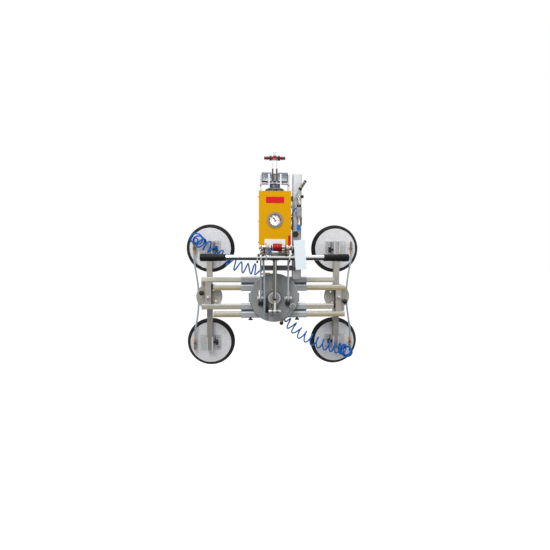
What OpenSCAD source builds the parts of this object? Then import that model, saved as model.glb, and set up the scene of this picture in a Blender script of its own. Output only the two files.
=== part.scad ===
// Hand-guided vacuum lifter for glass panes, hung from a hoist.
// Four suction pads sit on two swivelling arms, the arms on two telescopic carriages,
// the carriages on a rotor, and the rotor on a head that tilts under the hanger.
// X runs to the right, Y from the operator to the pane, Z up. The eye's bore is the origin.

/* [Pads] */
// Outer diameter of the rubber lip
pad_d = 280; // [250:2:284]
// Depth of the rubber lip, from the pane to the metal plate
lip_depth = 22; // [18:1:26]
// Diameter of the metal pad plate
plate_d = 244; // [230:2:248]
// Thickness of the metal pad plate
plate_t = 5; // [4:1:8]
// Distance between the pads' centres, left to right
pad_span_x = 734; // [720:2:780]
// Distance between the pads' centres, top to bottom
pad_span_z = 552; // [520:2:580]
// Width of the bracket plate that is screwed to a pad
bracket_w = 122; // [100:2:130]
// Height of the bracket plate
bracket_h = 90; // [80:2:100]
// Thickness of the bracket's sheet
bracket_t = 3; // [2:0.5:4]

/* [Arms] */
// Width of the arm's square tube
arm_w = 30; // [26:1:34]
// Depth of the arm's tube
arm_deep = 40; // [36:1:44]
// Wall of the arm's tube
arm_wall = 2.5; // [2:0.5:4]
// Length of the arm
arm_len = 606; // [580:2:620]
// Diameter of the index disc on the arm
index_d = 148; // [140:2:160]
// Thickness of the index disc
index_t = 5; // [4:1:6]
// Radius of the ring of index holes
index_r = 44; // [40:1:50]
// Radius of the pivot bolt
pivot_r = 8; // [6:1:10]

/* [Carriages] */
// Height of a rail tube
rail_h = 28; // [24:1:30]
// Depth of a rail tube
rail_deep = 40; // [36:1:44]
// Wall of a rail tube
rail_wall = 2.5; // [2:0.5:4]
// Height of the outer rows above and below the hub
row_outer_z = 98; // [96:1:104]
// Height of the inner rows above and below the hub
row_inner_z = 53.5; // [50:0.5:56]
// Distance from the hub to a rail's outer end
rail_out = 405; // [400:1:420]
// Distance from the hub to a rail's free end
rail_in = 339; // [300:1:345]
// Width of the upright post that carries an arm
post_w = 33; // [30:1:36]

/* [Turning head] */
// Length of a rail sleeve
sleeve_len = 370; // [340:2:400]
// Wall of a rail sleeve
sleeve_wall = 2.5; // [2:0.5:3]
// Running gap between rail and sleeve
run_gap = 0.5; // [0.3:0.1:0.8]
// Diameter of the rotor's plate
rotor_d = 262; // [250:2:264]
// Length of the bar across the rotor's plate
rotor_bar = 284; // [270:2:300]
// Thickness of the rotor's plate
rotor_t = 8; // [6:1:10]
// Diameter of the tilting front disc
disc_d = 272; // [262:2:276]
// Thickness of the front disc
disc_t = 8; // [6:1:10]
// Radius of the rotor's spindle
spindle_r = 20; // [16:1:22]
// Distance from the front disc's face to the tilt axis
axis_stand = 23; // [22:1:26]
// Radius of the tilt pins
tilt_pin_r = 8; // [6:1:9]

/* [Hanger] */
// Thickness of a side plate
side_t = 8; // [6:1:9]
// Distance from the middle to a side plate's middle
side_x = 75; // [74:1:76]
// Half the depth of a side plate
side_half = 20; // [18:1:20]
// Height of the side plates' tops above the hub
side_top = 690; // [686:1:700]
// Side of the mast's square tube
mast_w = 47; // [40:1:48]
// Height of the mast's foot above the hub
mast_foot = 108; // [106:1:120]
// Height of the mast's top above the hub
mast_top = 668; // [640:1:690]
// Height of the lifting eye's bore above the hub
eye_z = 782; // [780:1:800]
// Radius of the lifting eye's bore
eye_bore_r = 11; // [8:0.5:12]
// Thickness of the lifting eye
eye_t = 16; // [14:1:18]

/* [Control box] */
// Width of the yellow cover
box_w = 171; // [168:1:178]
// Height of the yellow cover
box_h = 300; // [280:2:320]
// Height of the cover's lower edge above the hub
box_z = 274; // [270:1:280]
// Distance from the tilt axis forward to the cover's front
box_front = 50; // [48:1:60]
// Thickness of the cover's sheet
box_t = 2; // [1:0.5:3]
// Radius of the gauge's flange
gauge_r = 42.5; // [40:0.5:46]
// Radius of the gauge's dial
dial_r = 31; // [26:1:32]

/* [Handlebar] */
// Radius of the handlebar's tube
bar_r = 14; // [12:0.5:15]
// Whole length of the handlebar
bar_len = 780; // [700:5:800]
// Length of a grip
grip_len = 133; // [110:1:140]
// Radius of a grip
grip_r = 19; // [17:0.5:21]
// Distance from the tilt axis forward to the handlebar
bar_front = 75; // [73:1:80]
// Height of the handlebar above the hub
bar_z = 223; // [221:1:226]

/* [Coiled hoses] */
// Outer radius of the blue hose
coil_tube_r = 4; // [3:0.5:5]
// Radius of a curl
curl_r = 29; // [24:1:29]
// Curls in the upper left hose
curls_left = 13; // [8:1:14]
// Curls in the lower right hose
curls_right = 14; // [8:1:16]

/* [Hidden] */
$fn = 48;

// Clearances: a pin in its bore, a slide in its guide, a loose joint between flat faces
pin_fit = 0.05;
slide_fit = 0.3;
face_gap = 1;
end_gap = 0.5;

// Depths in front of the pane, from the pads to the tilt axis
plate_front = lip_depth + plate_t;
bracket_front = plate_front + bracket_t;
arm_back = bracket_front + 4;
arm_front = arm_back + arm_deep;
index_front = arm_front + index_t;
sleeve_back = index_front + face_gap;
rail_back = sleeve_back + sleeve_wall + run_gap;
rail_front = rail_back + rail_deep;
sleeve_front = rail_front + run_gap + sleeve_wall;
rotor_front = sleeve_front + rotor_t;
disc_back = rotor_front + 2 * face_gap;
disc_front = disc_back + disc_t;
tilt_depth = disc_front + axis_stand;

// The same places as Y, measured from the tilt axis towards the pane
function y_at(depth) = tilt_depth - depth;
pane_y = y_at(0);
sleeve_h = rail_h + 2 * (run_gap + sleeve_wall);

// Pads, arms and their pivots
pad_x = pad_span_x / 2;
pad_z = pad_span_z / 2;
flange_t = 3;
flange_h = 80;
lip_turn = 5;
knob_drop = 6;
knob_y = y_at(arm_back + arm_deep / 2);
screw_r = 4;
fitting_x = -89;
fitting_r = 6;
fitting_half = 35;
fitting_y = y_at(bracket_front + 20);

// Index plunger on the post
index_angle = 145;
index_step = 15;
index_pin_r = 4;
index_plate_t = 6;
index_plate_w = 27;
index_plate_back = rail_back + 2;
index_plate_front = index_plate_back + index_plate_t;
index_pin_x = index_r * cos(index_angle);
index_pin_z = index_r * sin(index_angle);
ball_r = 14;

// Rotation lock on the front disc
lock_x = 102;
lock_z = -45;
lock_pin_r = 6;
lock_body_r = 16;
lock_body_len = 24;
lock_ball = [39, -137];
lock_ball_r = 11;

// Hub bearing
hub_r = 35;
hub_len = 18;

// Tilt clevises and crank ears
ear_t = 6;
ear_r = 17;
crank_in = 14;
crank_t = 6;
crank_y = -45;
crank_z = -65;
crank_r = 13;

// Telescopic strut between hanger and crank ears
strut_y = -50;
strut_z = 215;
strut_r = 11;
strut_rod_r = 8.5;
strut_eye_r = 11.5;
strut_pin_r = 6;
strut_part = 157;
strut_len = norm([crank_y - strut_y, crank_z - strut_z]);
strut_lean = atan2(crank_y - strut_y, strut_z - crank_z);

// Main outlines of the box and its mounts
box_back = 6;
box_cut = 16;
gauge_z = 421;
valve_z = 276;
valve_y = -bar_front;
sleeve_x0 = -12;
sleeve_x1 = 35;
mast_x = 119.5;
inlet_x = 127;
inlet_y = -(mast_w / 2 + 22);
tank_y = -2;
tank_r = 22;

// Hose routes: sideways, depth in front of the pane, height above the hub
route_left = [[-456, 50, 326], [-434, 74, 328], [-408, 106, 304], [-366, 114, 284],
    [-318, 112, 250], [-270, 110, 216], [-215, 108, 180], [-155, 106, 162],
    [-100, 106, 156], [-62, 106, 130]];
route_right = [[456, 50, -329], [434, 74, -330], [408, 106, -308], [366, 114, -296],
    [315, 112, -284], [260, 110, -266], [205, 108, -240], [150, 106, -208],
    [104, 107, -164], [62, 106, -130]];
route_main = [[-61, -37, 239.5], [-61, -37, 200], [-58, -37, 150], [-56, -36, 100],
    [-55, -34, 50], [-55, -30, 0], [-55, -23, -40], [-55, -14, -75], [-54, -6, -95],
    [-50, 0, -108], [-45, 6, -104], [-43, 8, -92], [-43, 8, -80.5]];
route_pad = [0, 2, 10, 17, 22, 24, 23, 20, 14, 7, 1, 0];

// Every piece is drawn about the hub and then moved so that the eye's bore is the origin
module place() translate([0, 0, -eye_z]) children();
module opposite() rotate([0, 180, 0]) children();
module block(lo, hi) translate(lo) cube(hi - lo);
module rod_x(r, x0, x1, y, z) translate([x0, y, z]) rotate([0, 90, 0]) cylinder(r = r, h = x1 - x0);
module rod_y(r, y0, y1, x, z) translate([x, y1, z]) rotate([90, 0, 0]) cylinder(r = r, h = y1 - y0);
module rod_z(r, z0, z1, x, y) translate([x, y, z0]) cylinder(r = r, h = z1 - z0);
module both_sides() for (side = [-1, 1]) translate([side * side_x, 0, 0]) children();
// A hexagon nut or bolt head across an X, Y or Z axis
module hex_x(r, x0, x1, y, z) translate([x0, y, z]) rotate([0, 90, 0]) cylinder(r = r, h = x1 - x0, $fn = 6);
module hex_y(r, y0, y1, x, z) translate([x, y1, z]) rotate([90, 0, 0]) cylinder(r = r, h = y1 - y0, $fn = 6);
module hex_z(r, z0, z1, x, y) translate([x, y, z0]) cylinder(r = r, h = z1 - z0, $fn = 6);

// A tube with square corners along X
module box_tube_x(x0, x1, y0, y1, z0, z1, wall) difference() {
    block([x0, y0, z0], [x1, y1, z1]);
    block([x0 - 1, y0 + wall, z0 + wall], [x1 + 1, y1 - wall, z1 - wall]);
}
// A tube with square corners along Z
module box_tube_z(x0, x1, y0, y1, z0, z1, wall) difference() {
    block([x0, y0, z0], [x1, y1, z1]);
    block([x0 + wall, y0 + wall, z0 - 1], [x1 - wall, y1 - wall, z1 + 1]);
}
// A lobed hand knob across its own Z axis
module star(r, h, lobes) linear_extrude(h) union() {
    circle(r * 0.62);
    for (k = [0 : lobes - 1]) rotate(k * 360 / lobes) translate([r * 0.62, 0]) circle(r * 0.38);
}

// Sweeping a round tube along points
function unit(v) = v / norm(v);
function along(p, i) = unit(p[min(i + 1, len(p) - 1)] - p[max(i - 1, 0)]);
function square_to(ref, t) = unit(ref - (ref * t) * t);
module swept_tube(points, refs, r, sides) {
    rings = len(points);
    skin = [for (i = [0 : rings - 1])
        let (t = along(points, i), u = square_to(refs[i], t), v = cross(t, u))
        for (k = [0 : sides - 1]) points[i] + r * (cos(k * 360 / sides) * u + sin(k * 360 / sides) * v)];
    ends = [points[0], points[rings - 1]];
    first = len(skin);
    polyhedron(points = concat(skin, ends), faces = concat(
        [for (i = [0 : rings - 2], k = [0 : sides - 1])
            [i * sides + k, (i + 1) * sides + k, i * sides + (k + 1) % sides]],
        [for (i = [0 : rings - 2], k = [0 : sides - 1])
            [i * sides + (k + 1) % sides, (i + 1) * sides + k, (i + 1) * sides + (k + 1) % sides]],
        [for (k = [0 : sides - 1]) [first, k, (k + 1) % sides]],
        [for (k = [0 : sides - 1])
            [first + 1, (rings - 1) * sides + (k + 1) % sides, (rings - 1) * sides + k]]));
}
// A smooth curve through a route's points, at a place from 0 to the number of its last point
function spot(p, s) = let (last = len(p) - 1, i = min(floor(s), last - 1), f = s - i,
    a = p[max(i - 1, 0)], b = p[i], c = p[i + 1], d = p[min(i + 2, last)])
    0.5 * (2 * b + (c - a) * f + (2 * a - 5 * b + 4 * c - d) * f * f + (3 * b - a - 3 * c + d) * f * f * f);
function smooth(route, per) = let (n = (len(route) - 1) * per) [for (i = [0 : n]) spot(route, i / per)];
function ramp(x) = let (c = min(max(x, 0), 1)) c * c * (3 - 2 * c);
function in_frame(p) = [p[0], y_at(p[1]), p[2]];

// A curly hose: it curls round its route, starts and ends on it, and its first loops lie
// flat towards the operator
flat_turns = 3.5;
function curl_points(route, curls) = let (steps = 8, n = curls * steps, last = len(route) - 1)
    [for (i = [0 : n])
        let (s = last * i / n, c = spot(route, s), ahead = unit(spot(route, min(s + 0.05, last))
            - spot(route, max(s - 0.05, 0))), w = ramp(i / (flat_turns * steps)),
            axis = unit(ahead * w + [0, -1, 0] * (1 - w)),
            u = unit(cross(axis, [0, 0, 1])), v = cross(u, axis),
            r = curl_r * ramp(min(i, n - i) / steps), a = 360 * i / steps)
        [c + r * (cos(a) * u + sin(a) * v), unit(cos(a) * u + sin(a) * v)]];
function least_gap(p, r) = min([for (i = [0 : len(p) - 7])
    min([for (j = [i + 6 : len(p) - 1]) norm(p[i] - p[j]) - 2 * r])]);
module curly_hose(route, start, finish, curls) {
    line = [for (p = route) in_frame(p)];
    curl = curl_points(line, curls);
    points = concat([in_frame(start)], [for (c = curl) c[0]], [in_frame(finish)]);
    refs = concat([curl[0][1]], [for (c = curl) c[1]], [curl[len(curl) - 1][1]]);
    echo(least_gap_between_turns = least_gap(points, coil_tube_r));
    swept_tube(points, refs, coil_tube_r, 6);
}

// Hanger
module side_plates() color("lightgray") place() both_sides() translate([-side_t / 2, 0, 0]) difference() {
    union() {
        rotate([90, 0, 90]) linear_extrude(side_t) union() {
            circle(side_half);
            polygon([[-side_half, 0], [side_half, 0], [side_half, side_top - 22],
                [side_half - 16, side_top], [-side_half + 16, side_top], [-side_half, side_top - 22]]);
            translate([-bar_front, bar_z]) circle(bar_r + 9);
            polygon([[-bar_front, bar_z - bar_r - 9], [0, bar_z - 42], [0, bar_z + 42],
                [-bar_front, bar_z + bar_r + 9]]);
        }
    }
    rod_x(tilt_pin_r + pin_fit, -1, side_t + 1, 0, 0);
    rod_x(bar_r + pin_fit, -1, side_t + 1, -bar_front, bar_z);
    rod_x(strut_pin_r + pin_fit, -1, side_t + 1, strut_y, strut_z);
}

bar_low = 153;
bar_high = 180;
side_in = side_x - side_t / 2;
side_out = side_x + side_t / 2;
mast_in = mast_x - mast_w / 2;
mast_out = mast_x + mast_w / 2;
link_low = 530;
module crossbar() color("dimgray") place() {
    box_tube_x(-side_in, side_in, -side_half, side_half, bar_low, bar_high, 3);
    box_tube_x(side_out, mast_in, -side_half, side_half, bar_low, bar_high, 3);
    block([side_out, box_back + 2, link_low], [mast_in, side_half, link_low + bar_high - bar_low]);
}

module mast() color("silver") place() difference() {
    union() {
        box_tube_z(mast_in, mast_out, -mast_w / 2, mast_w / 2, mast_foot, mast_top, 3);
        block([mast_in + 2, -mast_w / 2 + 2, mast_top - 4], [mast_out - 2, mast_w / 2 - 2, mast_top]);
    }
    rod_y(mast_screw_r + pin_fit, -mast_w, 0, mast_knob_x, mast_knob_z);
    rod_y(mast_bolt_r + pin_fit, -mast_w, 0, mast_bolt_x, mast_bolt_z);
}

channel_low = 619;
channel_high = 679;
channel_t = 3;
leg_x = 11;
leg_r = 3.2;
cheek_low = 635;
cheek_high = 699;
cheek_w = 8;
cheek_deep = 22;
module top_channel() color("lightsteelblue") place() {
    difference() {
        union() {
            block([-side_in, side_half - channel_t, channel_low], [side_in, side_half, channel_high]);
            block([-side_in, -side_half, channel_low], [side_in, side_half, channel_low + channel_t]);
            block([-side_in, -side_half, channel_high - channel_t], [side_in, side_half, channel_high]);
        }
        block([-leg_x - cheek_w, -side_half - 1, channel_high - channel_t - 1],
            [leg_x + cheek_w, cheek_deep / 2 + 2, channel_high + 1]);
        for (side = [-1, 1])
            rod_z(leg_r + pin_fit, channel_low - 1, channel_low + channel_t + 1, side * leg_x, 0);
    }
    for (side = [-1, 1]) translate([side * 31 - 4, -side_half - 8, 0]) {
        block([0, 0, flare_top], [8, 7.7, 664]);
        rotate([90, 0, 90]) linear_extrude(8) translate([3.85, 664]) circle(3.85);
    }
}

head_low = 750;
leg_nut = 4;
module lifting_eye() color("firebrick") place() {
    difference() {
        union() {
            for (side = [-1, 1]) rod_z(leg_r, channel_low - leg_nut, head_low + 4, side * leg_x, 0);
            for (side = [-1, 1]) hex_z(7, channel_low - leg_nut, channel_low, side * leg_x, 0);
            block([-leg_x - leg_r, -9, head_low], [leg_x + leg_r, 9, head_low + 14]);
            block([-eye_t / 2, -18, head_low], [eye_t / 2, 18, eye_z]);
            rod_x(18, -eye_t / 2, eye_t / 2, 0, eye_z);
        }
        rod_x(eye_bore_r, -eye_t, eye_t, 0, eye_z);
    }
}

module eye_cheeks() color("dimgray") place() for (side = [-1, 1]) {
    difference() {
        block([side * leg_x - cheek_w / 2, -cheek_deep / 2, cheek_low],
            [side * leg_x + cheek_w / 2, cheek_deep / 2, cheek_high]);
        rod_z(leg_r + pin_fit, cheek_low - 1, cheek_high + 1, side * leg_x, 0);
    }
    rod_x(6, side > 0 ? leg_x + leg_r : -57, side > 0 ? 57 : -leg_x - leg_r, 0, head_low + 7);
    rod_x(13, side * 22.5 - 6.5, side * 22.5 + 6.5, 0, head_low + 7);
    rod_x(9, side * 39 - 6, side * 39 + 6, 0, head_low + 7);
    hex_x(9, side * 52 - 4, side * 52 + 4, 0, head_low + 7);
}

flare_top = 587;
tank_top = channel_low - 5;
module tank_housing() color("darkslategray") place() translate([0, tank_y, 0]) rotate_extrude()
    polygon([[0, box_z + 20], [tank_r, box_z + 20], [tank_r, box_z + box_h], [50, box_z + box_h + 0.5],
        [50, box_z + box_h + 4], [38, box_z + box_h + 10], [30, flare_top], [29, tank_top - 8],
        [24, tank_top - 8], [24, tank_top], [0, tank_top]]);

// The cover's outline seen from the front, drawn in by a wall
function box_outline(in) = let (h = box_w / 2 - in, low = box_z + in, top = box_z + box_h - in,
    cut = box_cut + in * (sqrt(2) - 1) - in)
    [[-h + cut, low], [h - cut, low], [h, low + cut], [h, top], [-h, top], [-h, low + cut]];
cover_screw_z = [box_z + 32, box_z + 148, box_z + 278];
cover_screw_r = 3;
cover_screw_y = -12;
module box_cover() color("goldenrod") place() difference() {
    translate([0, box_back, 0]) rotate([90, 0, 0]) linear_extrude(box_front + box_back)
        polygon(box_outline(0));
    translate([0, box_back + 1, 0]) rotate([90, 0, 0]) linear_extrude(box_front + box_back - box_t + 1)
        polygon(box_outline(box_t));
    for (side = [-1, 1]) block([side * side_x - side_t / 2 - 0.5, -side_half - 0.5, box_z - 1],
        [side * side_x + side_t / 2 + 0.5, box_back + 1, box_z + box_h + 1]);
    rod_z(tank_r + 0.5, box_z + box_h - box_t - 1, box_z + box_h + 1, 0, tank_y);
    rod_y(gauge_body_r + 0.3, -box_front - 1, -box_front + box_t + 1, 0, gauge_z);
    for (z = cover_screw_z) rod_x(cover_screw_r + pin_fit, -box_w, box_w, cover_screw_y, z);
}

mast_screw_r = 5;
mast_knob_x = 110;
mast_knob_z = 348;
mast_bolt_r = 5;
mast_bolt_x = 103;
mast_bolt_z = 163;
module frame_bolts() color("silver") place() {
    for (side = [-1, 1]) mirror([side < 0 ? 1 : 0, 0, 0]) {
        rod_x(tilt_pin_r, clevis_in - 7, clevis_out + 9, 0, 0);
        hex_x(13, clevis_in - 9, clevis_in - 0.5, 0, 0);
        hex_x(13, clevis_out + 0.5, clevis_out + 9, 0, 0);
        for (z = cover_screw_z) {
            rod_x(cover_screw_r, side_out, box_w / 2 + 1, cover_screw_y, z);
            rod_x(6, side_out, box_w / 2 - box_t, cover_screw_y, z);
            rod_x(6, box_w / 2, box_w / 2 + 4, cover_screw_y, z);
        }
    }
    rod_x(strut_pin_r, -side_out - 4, side_out + 4, strut_y, strut_z);
    for (side = [0, 1]) mirror([side, 0, 0]) hex_x(9, strut_r + slide_fit, strut_r + 7, strut_y, strut_z);
    rod_y(mast_bolt_r, -mast_w / 2 - 6, -mast_w / 2 + 12, mast_bolt_x, mast_bolt_z);
    rod_y(9, -mast_w / 2 - 12, -mast_w / 2, mast_bolt_x, mast_bolt_z);
}

gauge_body_r = dial_r + 3;
dial_y = -box_front - 1;
module gauge_case() color("silver") place() difference() {
    union() {
        rod_y(gauge_r, -box_front - 4, -box_front, 0, gauge_z);
        rod_y(gauge_body_r, -box_front - 8, -box_front + 20, 0, gauge_z);
    }
    rod_y(dial_r, -box_front - 9, dial_y, 0, gauge_z);
    rod_y(needle_pin_r + pin_fit, -box_front - 9, -box_front + 6, 0, gauge_z);
}
module gauge_glass() color("lightcyan") place()
    rod_y(dial_r - 0.1, -box_front - 7.5, -box_front - 6, 0, gauge_z);
needle_pin_r = 1.5;
needle_y = dial_y - 2.4;
needle_angle = 130;
module gauge_needle() color("black") place() translate([0, needle_y, gauge_z]) rotate([0, -needle_angle, 0]) {
    rod_y(3, 0, 1.6, 0, 0);
    rod_y(needle_pin_r, 0, 6, 0, 0);
    rotate([90, 0, 0]) translate([0, 0, -1]) linear_extrude(0.8)
        polygon([[-9, -1.6], [dial_r - 8, -0.4], [dial_r - 7, 0], [dial_r - 8, 0.4], [-9, 1.6]]);
}

plate_tilt = 4.5;
plate_w = 58;
plate_h = 154;
plate_x = 130;
plate_z = 238;
plate_gap = 0.3;
module blank_plates() color("aliceblue") place() {
    translate([plate_x, -bar_front - bar_r - plate_gap, plate_z]) rotate([0, plate_tilt, 0])
        block([-plate_w / 2, -1.5, -plate_h / 2], [plate_w / 2, 0, plate_h / 2]);
    difference() {
        rod_x(bar_r + 2.3, plate_x - 12, plate_x + 12, -bar_front, bar_z);
        rod_x(bar_r + plate_gap, plate_x - 13, plate_x + 13, -bar_front, bar_z);
        block([plate_x - 13, -bar_front - bar_r - 6, bar_z - bar_r - 3],
            [plate_x + 13, -bar_front - bar_r - plate_gap, bar_z + bar_r + 3]);
    }
    block([-48, -box_front - 1, box_z + 236], [48, -box_front, box_z + 269]);
    block([-55, -box_front - 1, box_z + 4], [55, -box_front, box_z + 47]);
}

module handlebar() color("silver") place() difference() {
    rod_x(bar_r, -bar_len / 2 + 4, bar_len / 2 - 4, -bar_front, bar_z);
    rod_x(bar_r - 2, -bar_len / 2 + 3, bar_len / 2 - 3, -bar_front, bar_z);
}
module handle_grips() color("black") place() for (side = [0, 1]) mirror([side, 0, 0])
    translate([bar_len / 2 - grip_len, -bar_front, bar_z]) rotate([0, 90, 0]) rotate_extrude()
        polygon([[bar_r + 0.1, 0], [grip_r - 1, 0], [grip_r + 1.5, 3], [grip_r + 1.5, 7], [grip_r - 1, 12],
            [grip_r - 1, grip_len - 14], [grip_r, grip_len - 9], [grip_r, grip_len - 4],
            [grip_r - 3, grip_len], [0, grip_len], [0, grip_len - 3.5], [bar_r + 0.1, grip_len - 3.5]]);

pipe_r = 8;
drop_r = 6.5;
hose_top = route_main[0];
strip_x = -48;
valve_ball_x = 72;
module valve_block() color("silver") place() {
    difference() {
        union() {
            rod_x(pipe_r, -86, 106, valve_y, valve_z);
            hex_x(12, -84, -71, valve_y, valve_z);
            hex_x(11, -42, -30, valve_y, valve_z);
            rod_x(12, -28, sleeve_x0 - 14, valve_y, valve_z);
            hex_x(12, sleeve_x1 + 14.5, sleeve_x1 + 22, valve_y, valve_z);
            rod_x(15, valve_ball_x - 12, valve_ball_x + 12, valve_y, valve_z);
            hex_x(13, valve_ball_x + 13, valve_ball_x + 22, valve_y, valve_z);
            rod_y(7, valve_y - 20, valve_y, valve_ball_x, valve_z);
            rod_z(drop_r, bar_z + bar_r + 1, valve_z, 101, valve_y);
            rod_z(drop_r, bar_z + bar_r + 6, valve_z, hose_top[0], valve_y);
            rod_y(5.5, valve_y, hose_top[1], hose_top[0], bar_z + bar_r + 14);
            rod_z(7, bar_z + bar_r + 3, bar_z + bar_r + 24, hose_top[0], hose_top[1]);
        }
        rod_y(lever_pin_r + pin_fit, valve_y - 21, valve_y - 8, valve_ball_x, valve_z);
    }
    difference() {
        block([strip_x - 3, valve_y - 18, bar_z - 16], [strip_x + 3, valve_y + 18, valve_z + 22]);
        rod_x(pipe_r + pin_fit, strip_x - 4, strip_x + 4, valve_y, valve_z);
        rod_x(bar_r + pin_fit, strip_x - 4, strip_x + 4, -bar_front, bar_z);
    }
}
module slide_sleeve() color("firebrick") place() translate([sleeve_x0, valve_y, valve_z]) rotate([0, 90, 0])
    rotate_extrude() polygon([[pipe_r + pin_fit, 0], [18, 0], [20.5, 2.5], [20.5, 9], [19, 10], [19, 12],
        [20.5, 13], [20.5, sleeve_x1 - sleeve_x0 - 13], [19, sleeve_x1 - sleeve_x0 - 12],
        [19, sleeve_x1 - sleeve_x0 - 10], [20.5, sleeve_x1 - sleeve_x0 - 9],
        [20.5, sleeve_x1 - sleeve_x0 - 2.5], [18, sleeve_x1 - sleeve_x0],
        [pipe_r + pin_fit, sleeve_x1 - sleeve_x0]]);

lever_pin_r = 3;
lever_y = valve_y - 27;
lever_t = 4;
lever_len = 62;
module ball_lever() color("firebrick") place() {
    rod_y(lever_pin_r, lever_y, valve_y - 9, valve_ball_x, valve_z);
    rod_y(8, lever_y, lever_y + lever_t, valve_ball_x, valve_z);
    block([valve_ball_x - 7, lever_y, valve_z],
        [valve_ball_x + 7, lever_y + lever_t, valve_z + lever_len - 7]);
    rod_y(7, lever_y, lever_y + lever_t, valve_ball_x, valve_z + lever_len - 7);
}

module mast_knob() color("black") place() {
    rod_y(mast_screw_r, -mast_w / 2 - 14, -mast_w / 2 + 16, mast_knob_x, mast_knob_z);
    rod_y(8, -mast_w / 2 - 12, -mast_w / 2 - slide_fit, mast_knob_x, mast_knob_z);
    translate([mast_knob_x, -mast_w / 2 - 11, mast_knob_z]) rotate([90, 0, 0]) star(17, 14, 6);
}

block_low = 439;
block_high = 489;
nickel_top = 556;
module inlet_fittings() color("gray") place() difference() {
    union() {
        rod_z(7.5, 396, block_low, inlet_x, inlet_y);
        block([inlet_x - 13.5, inlet_y - 15, block_low], [inlet_x + 14, inlet_y + 15, block_high]);
        translate([inlet_x, inlet_y, block_high]) cylinder(r1 = 13, r2 = 10, h = 13);
        rod_z(6.5, block_high + 13, nickel_top, inlet_x, inlet_y);
        hex_z(8.5, block_high + 20, block_high + 32, inlet_x, inlet_y);
        hex_z(8, nickel_top - 16, nickel_top - 4, inlet_x, inlet_y);
        rod_z(5, 360, 397, inlet_x, inlet_y);
        block([inlet_x + 6, inlet_y + 8, 395], [inlet_x + 18, -mast_w / 2, 438]);
        block([inlet_x - 8, inlet_y + 14, block_low + 6], [inlet_x + 10, -mast_w / 2, block_high - 6]);
        coupler();
    }
    rod_x(needle_pin_r * 2 + pin_fit, inlet_x, inlet_x + 15, inlet_y, nickel_top - 10);
}
module coupler() translate([133, inlet_y, 586]) rotate([0, 34, 0]) {
    cylinder(r = 9, h = 8);
    cylinder(r = 7, h = 52);
    translate([0, 0, 14]) cylinder(r = 8, h = 26);
}
module inlet_knob() color("black") place() {
    rod_x(needle_pin_r * 2, inlet_x + 7, inlet_x + 12, inlet_y, nickel_top - 10);
    rod_x(8, inlet_x + 11, inlet_x + 24, inlet_y, nickel_top - 10);
}
module shutoff_sleeve() color("dodgerblue") place() difference() {
    union() {
        rod_z(9.5, 372, 395, inlet_x, inlet_y);
        rod_z(8.5, 368, 372, inlet_x, inlet_y);
    }
    rod_z(5 + pin_fit, 367, 396, inlet_x, inlet_y);
}
module inlet_hoses() color("lightsteelblue") place() {
    hose_run([[box_w / 2 + 5.8, -34, 486], [94, -36, 500], [99, -40, 515], [106, -44, 532],
        [112, inlet_y, 553], [122, inlet_y, 571], [132.7, inlet_y, 585.4]], 5.5);
    hose_run([[box_w / 2 + 3.3, -34, 446], [94, -38, 458], [101, -44, 472], [106, inlet_y, 483],
        [112.6, inlet_y, 484]], 3);
    hose_run([[box_w / 2 + 5.3, -32, 372], [93, -34, 392], [95, -34, 410], [93, -33, 428],
        [box_w / 2 + 5.3, -32, 440]], 5);
}
module hose_run(route, r) {
    points = smooth(route, 2);
    swept_tube(points, [for (p = points) [0, 1, 0.2]], r, 8);
}
module main_hose() color("lightcyan") place() {
    points = smooth(route_main, 3);
    swept_tube(points, [for (p = points) [1, 0, 0]], 5.5, 8);
}

// Strut: drawn hanging straight down from its upper pin, then leaned to the crank's pin
strut_half = 10;
module strut_lay() translate([0, strut_y, strut_z]) rotate([strut_lean, 0, 0]) children();
module strut_tube() color("silver") place() strut_lay() difference() {
    union() {
        rod_z(strut_r, -strut_part, -4, 0, 0);
        rod_x(strut_eye_r, -strut_half, strut_half, 0, 0);
        rod_z(strut_r + 2, -strut_part, -strut_part + 10, 0, 0);
    }
    rod_x(strut_pin_r + pin_fit, -strut_half - 1, strut_half + 1, 0, 0);
    rod_z(strut_rod_r + pin_fit, -strut_part - 1, -strut_eye_r - 2, 0, 0);
}
module strut_rod() color("gainsboro") place() strut_lay() translate([0, 0, -strut_len]) {
    rod_z(strut_rod_r, 0, strut_part - 1, 0, 0);
    rod_x(11, -crank_in + 3, crank_in - 3, 0, 0);
    rod_x(6, -crank_in + slide_fit, crank_in - slide_fit, 0, 0);
}

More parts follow.
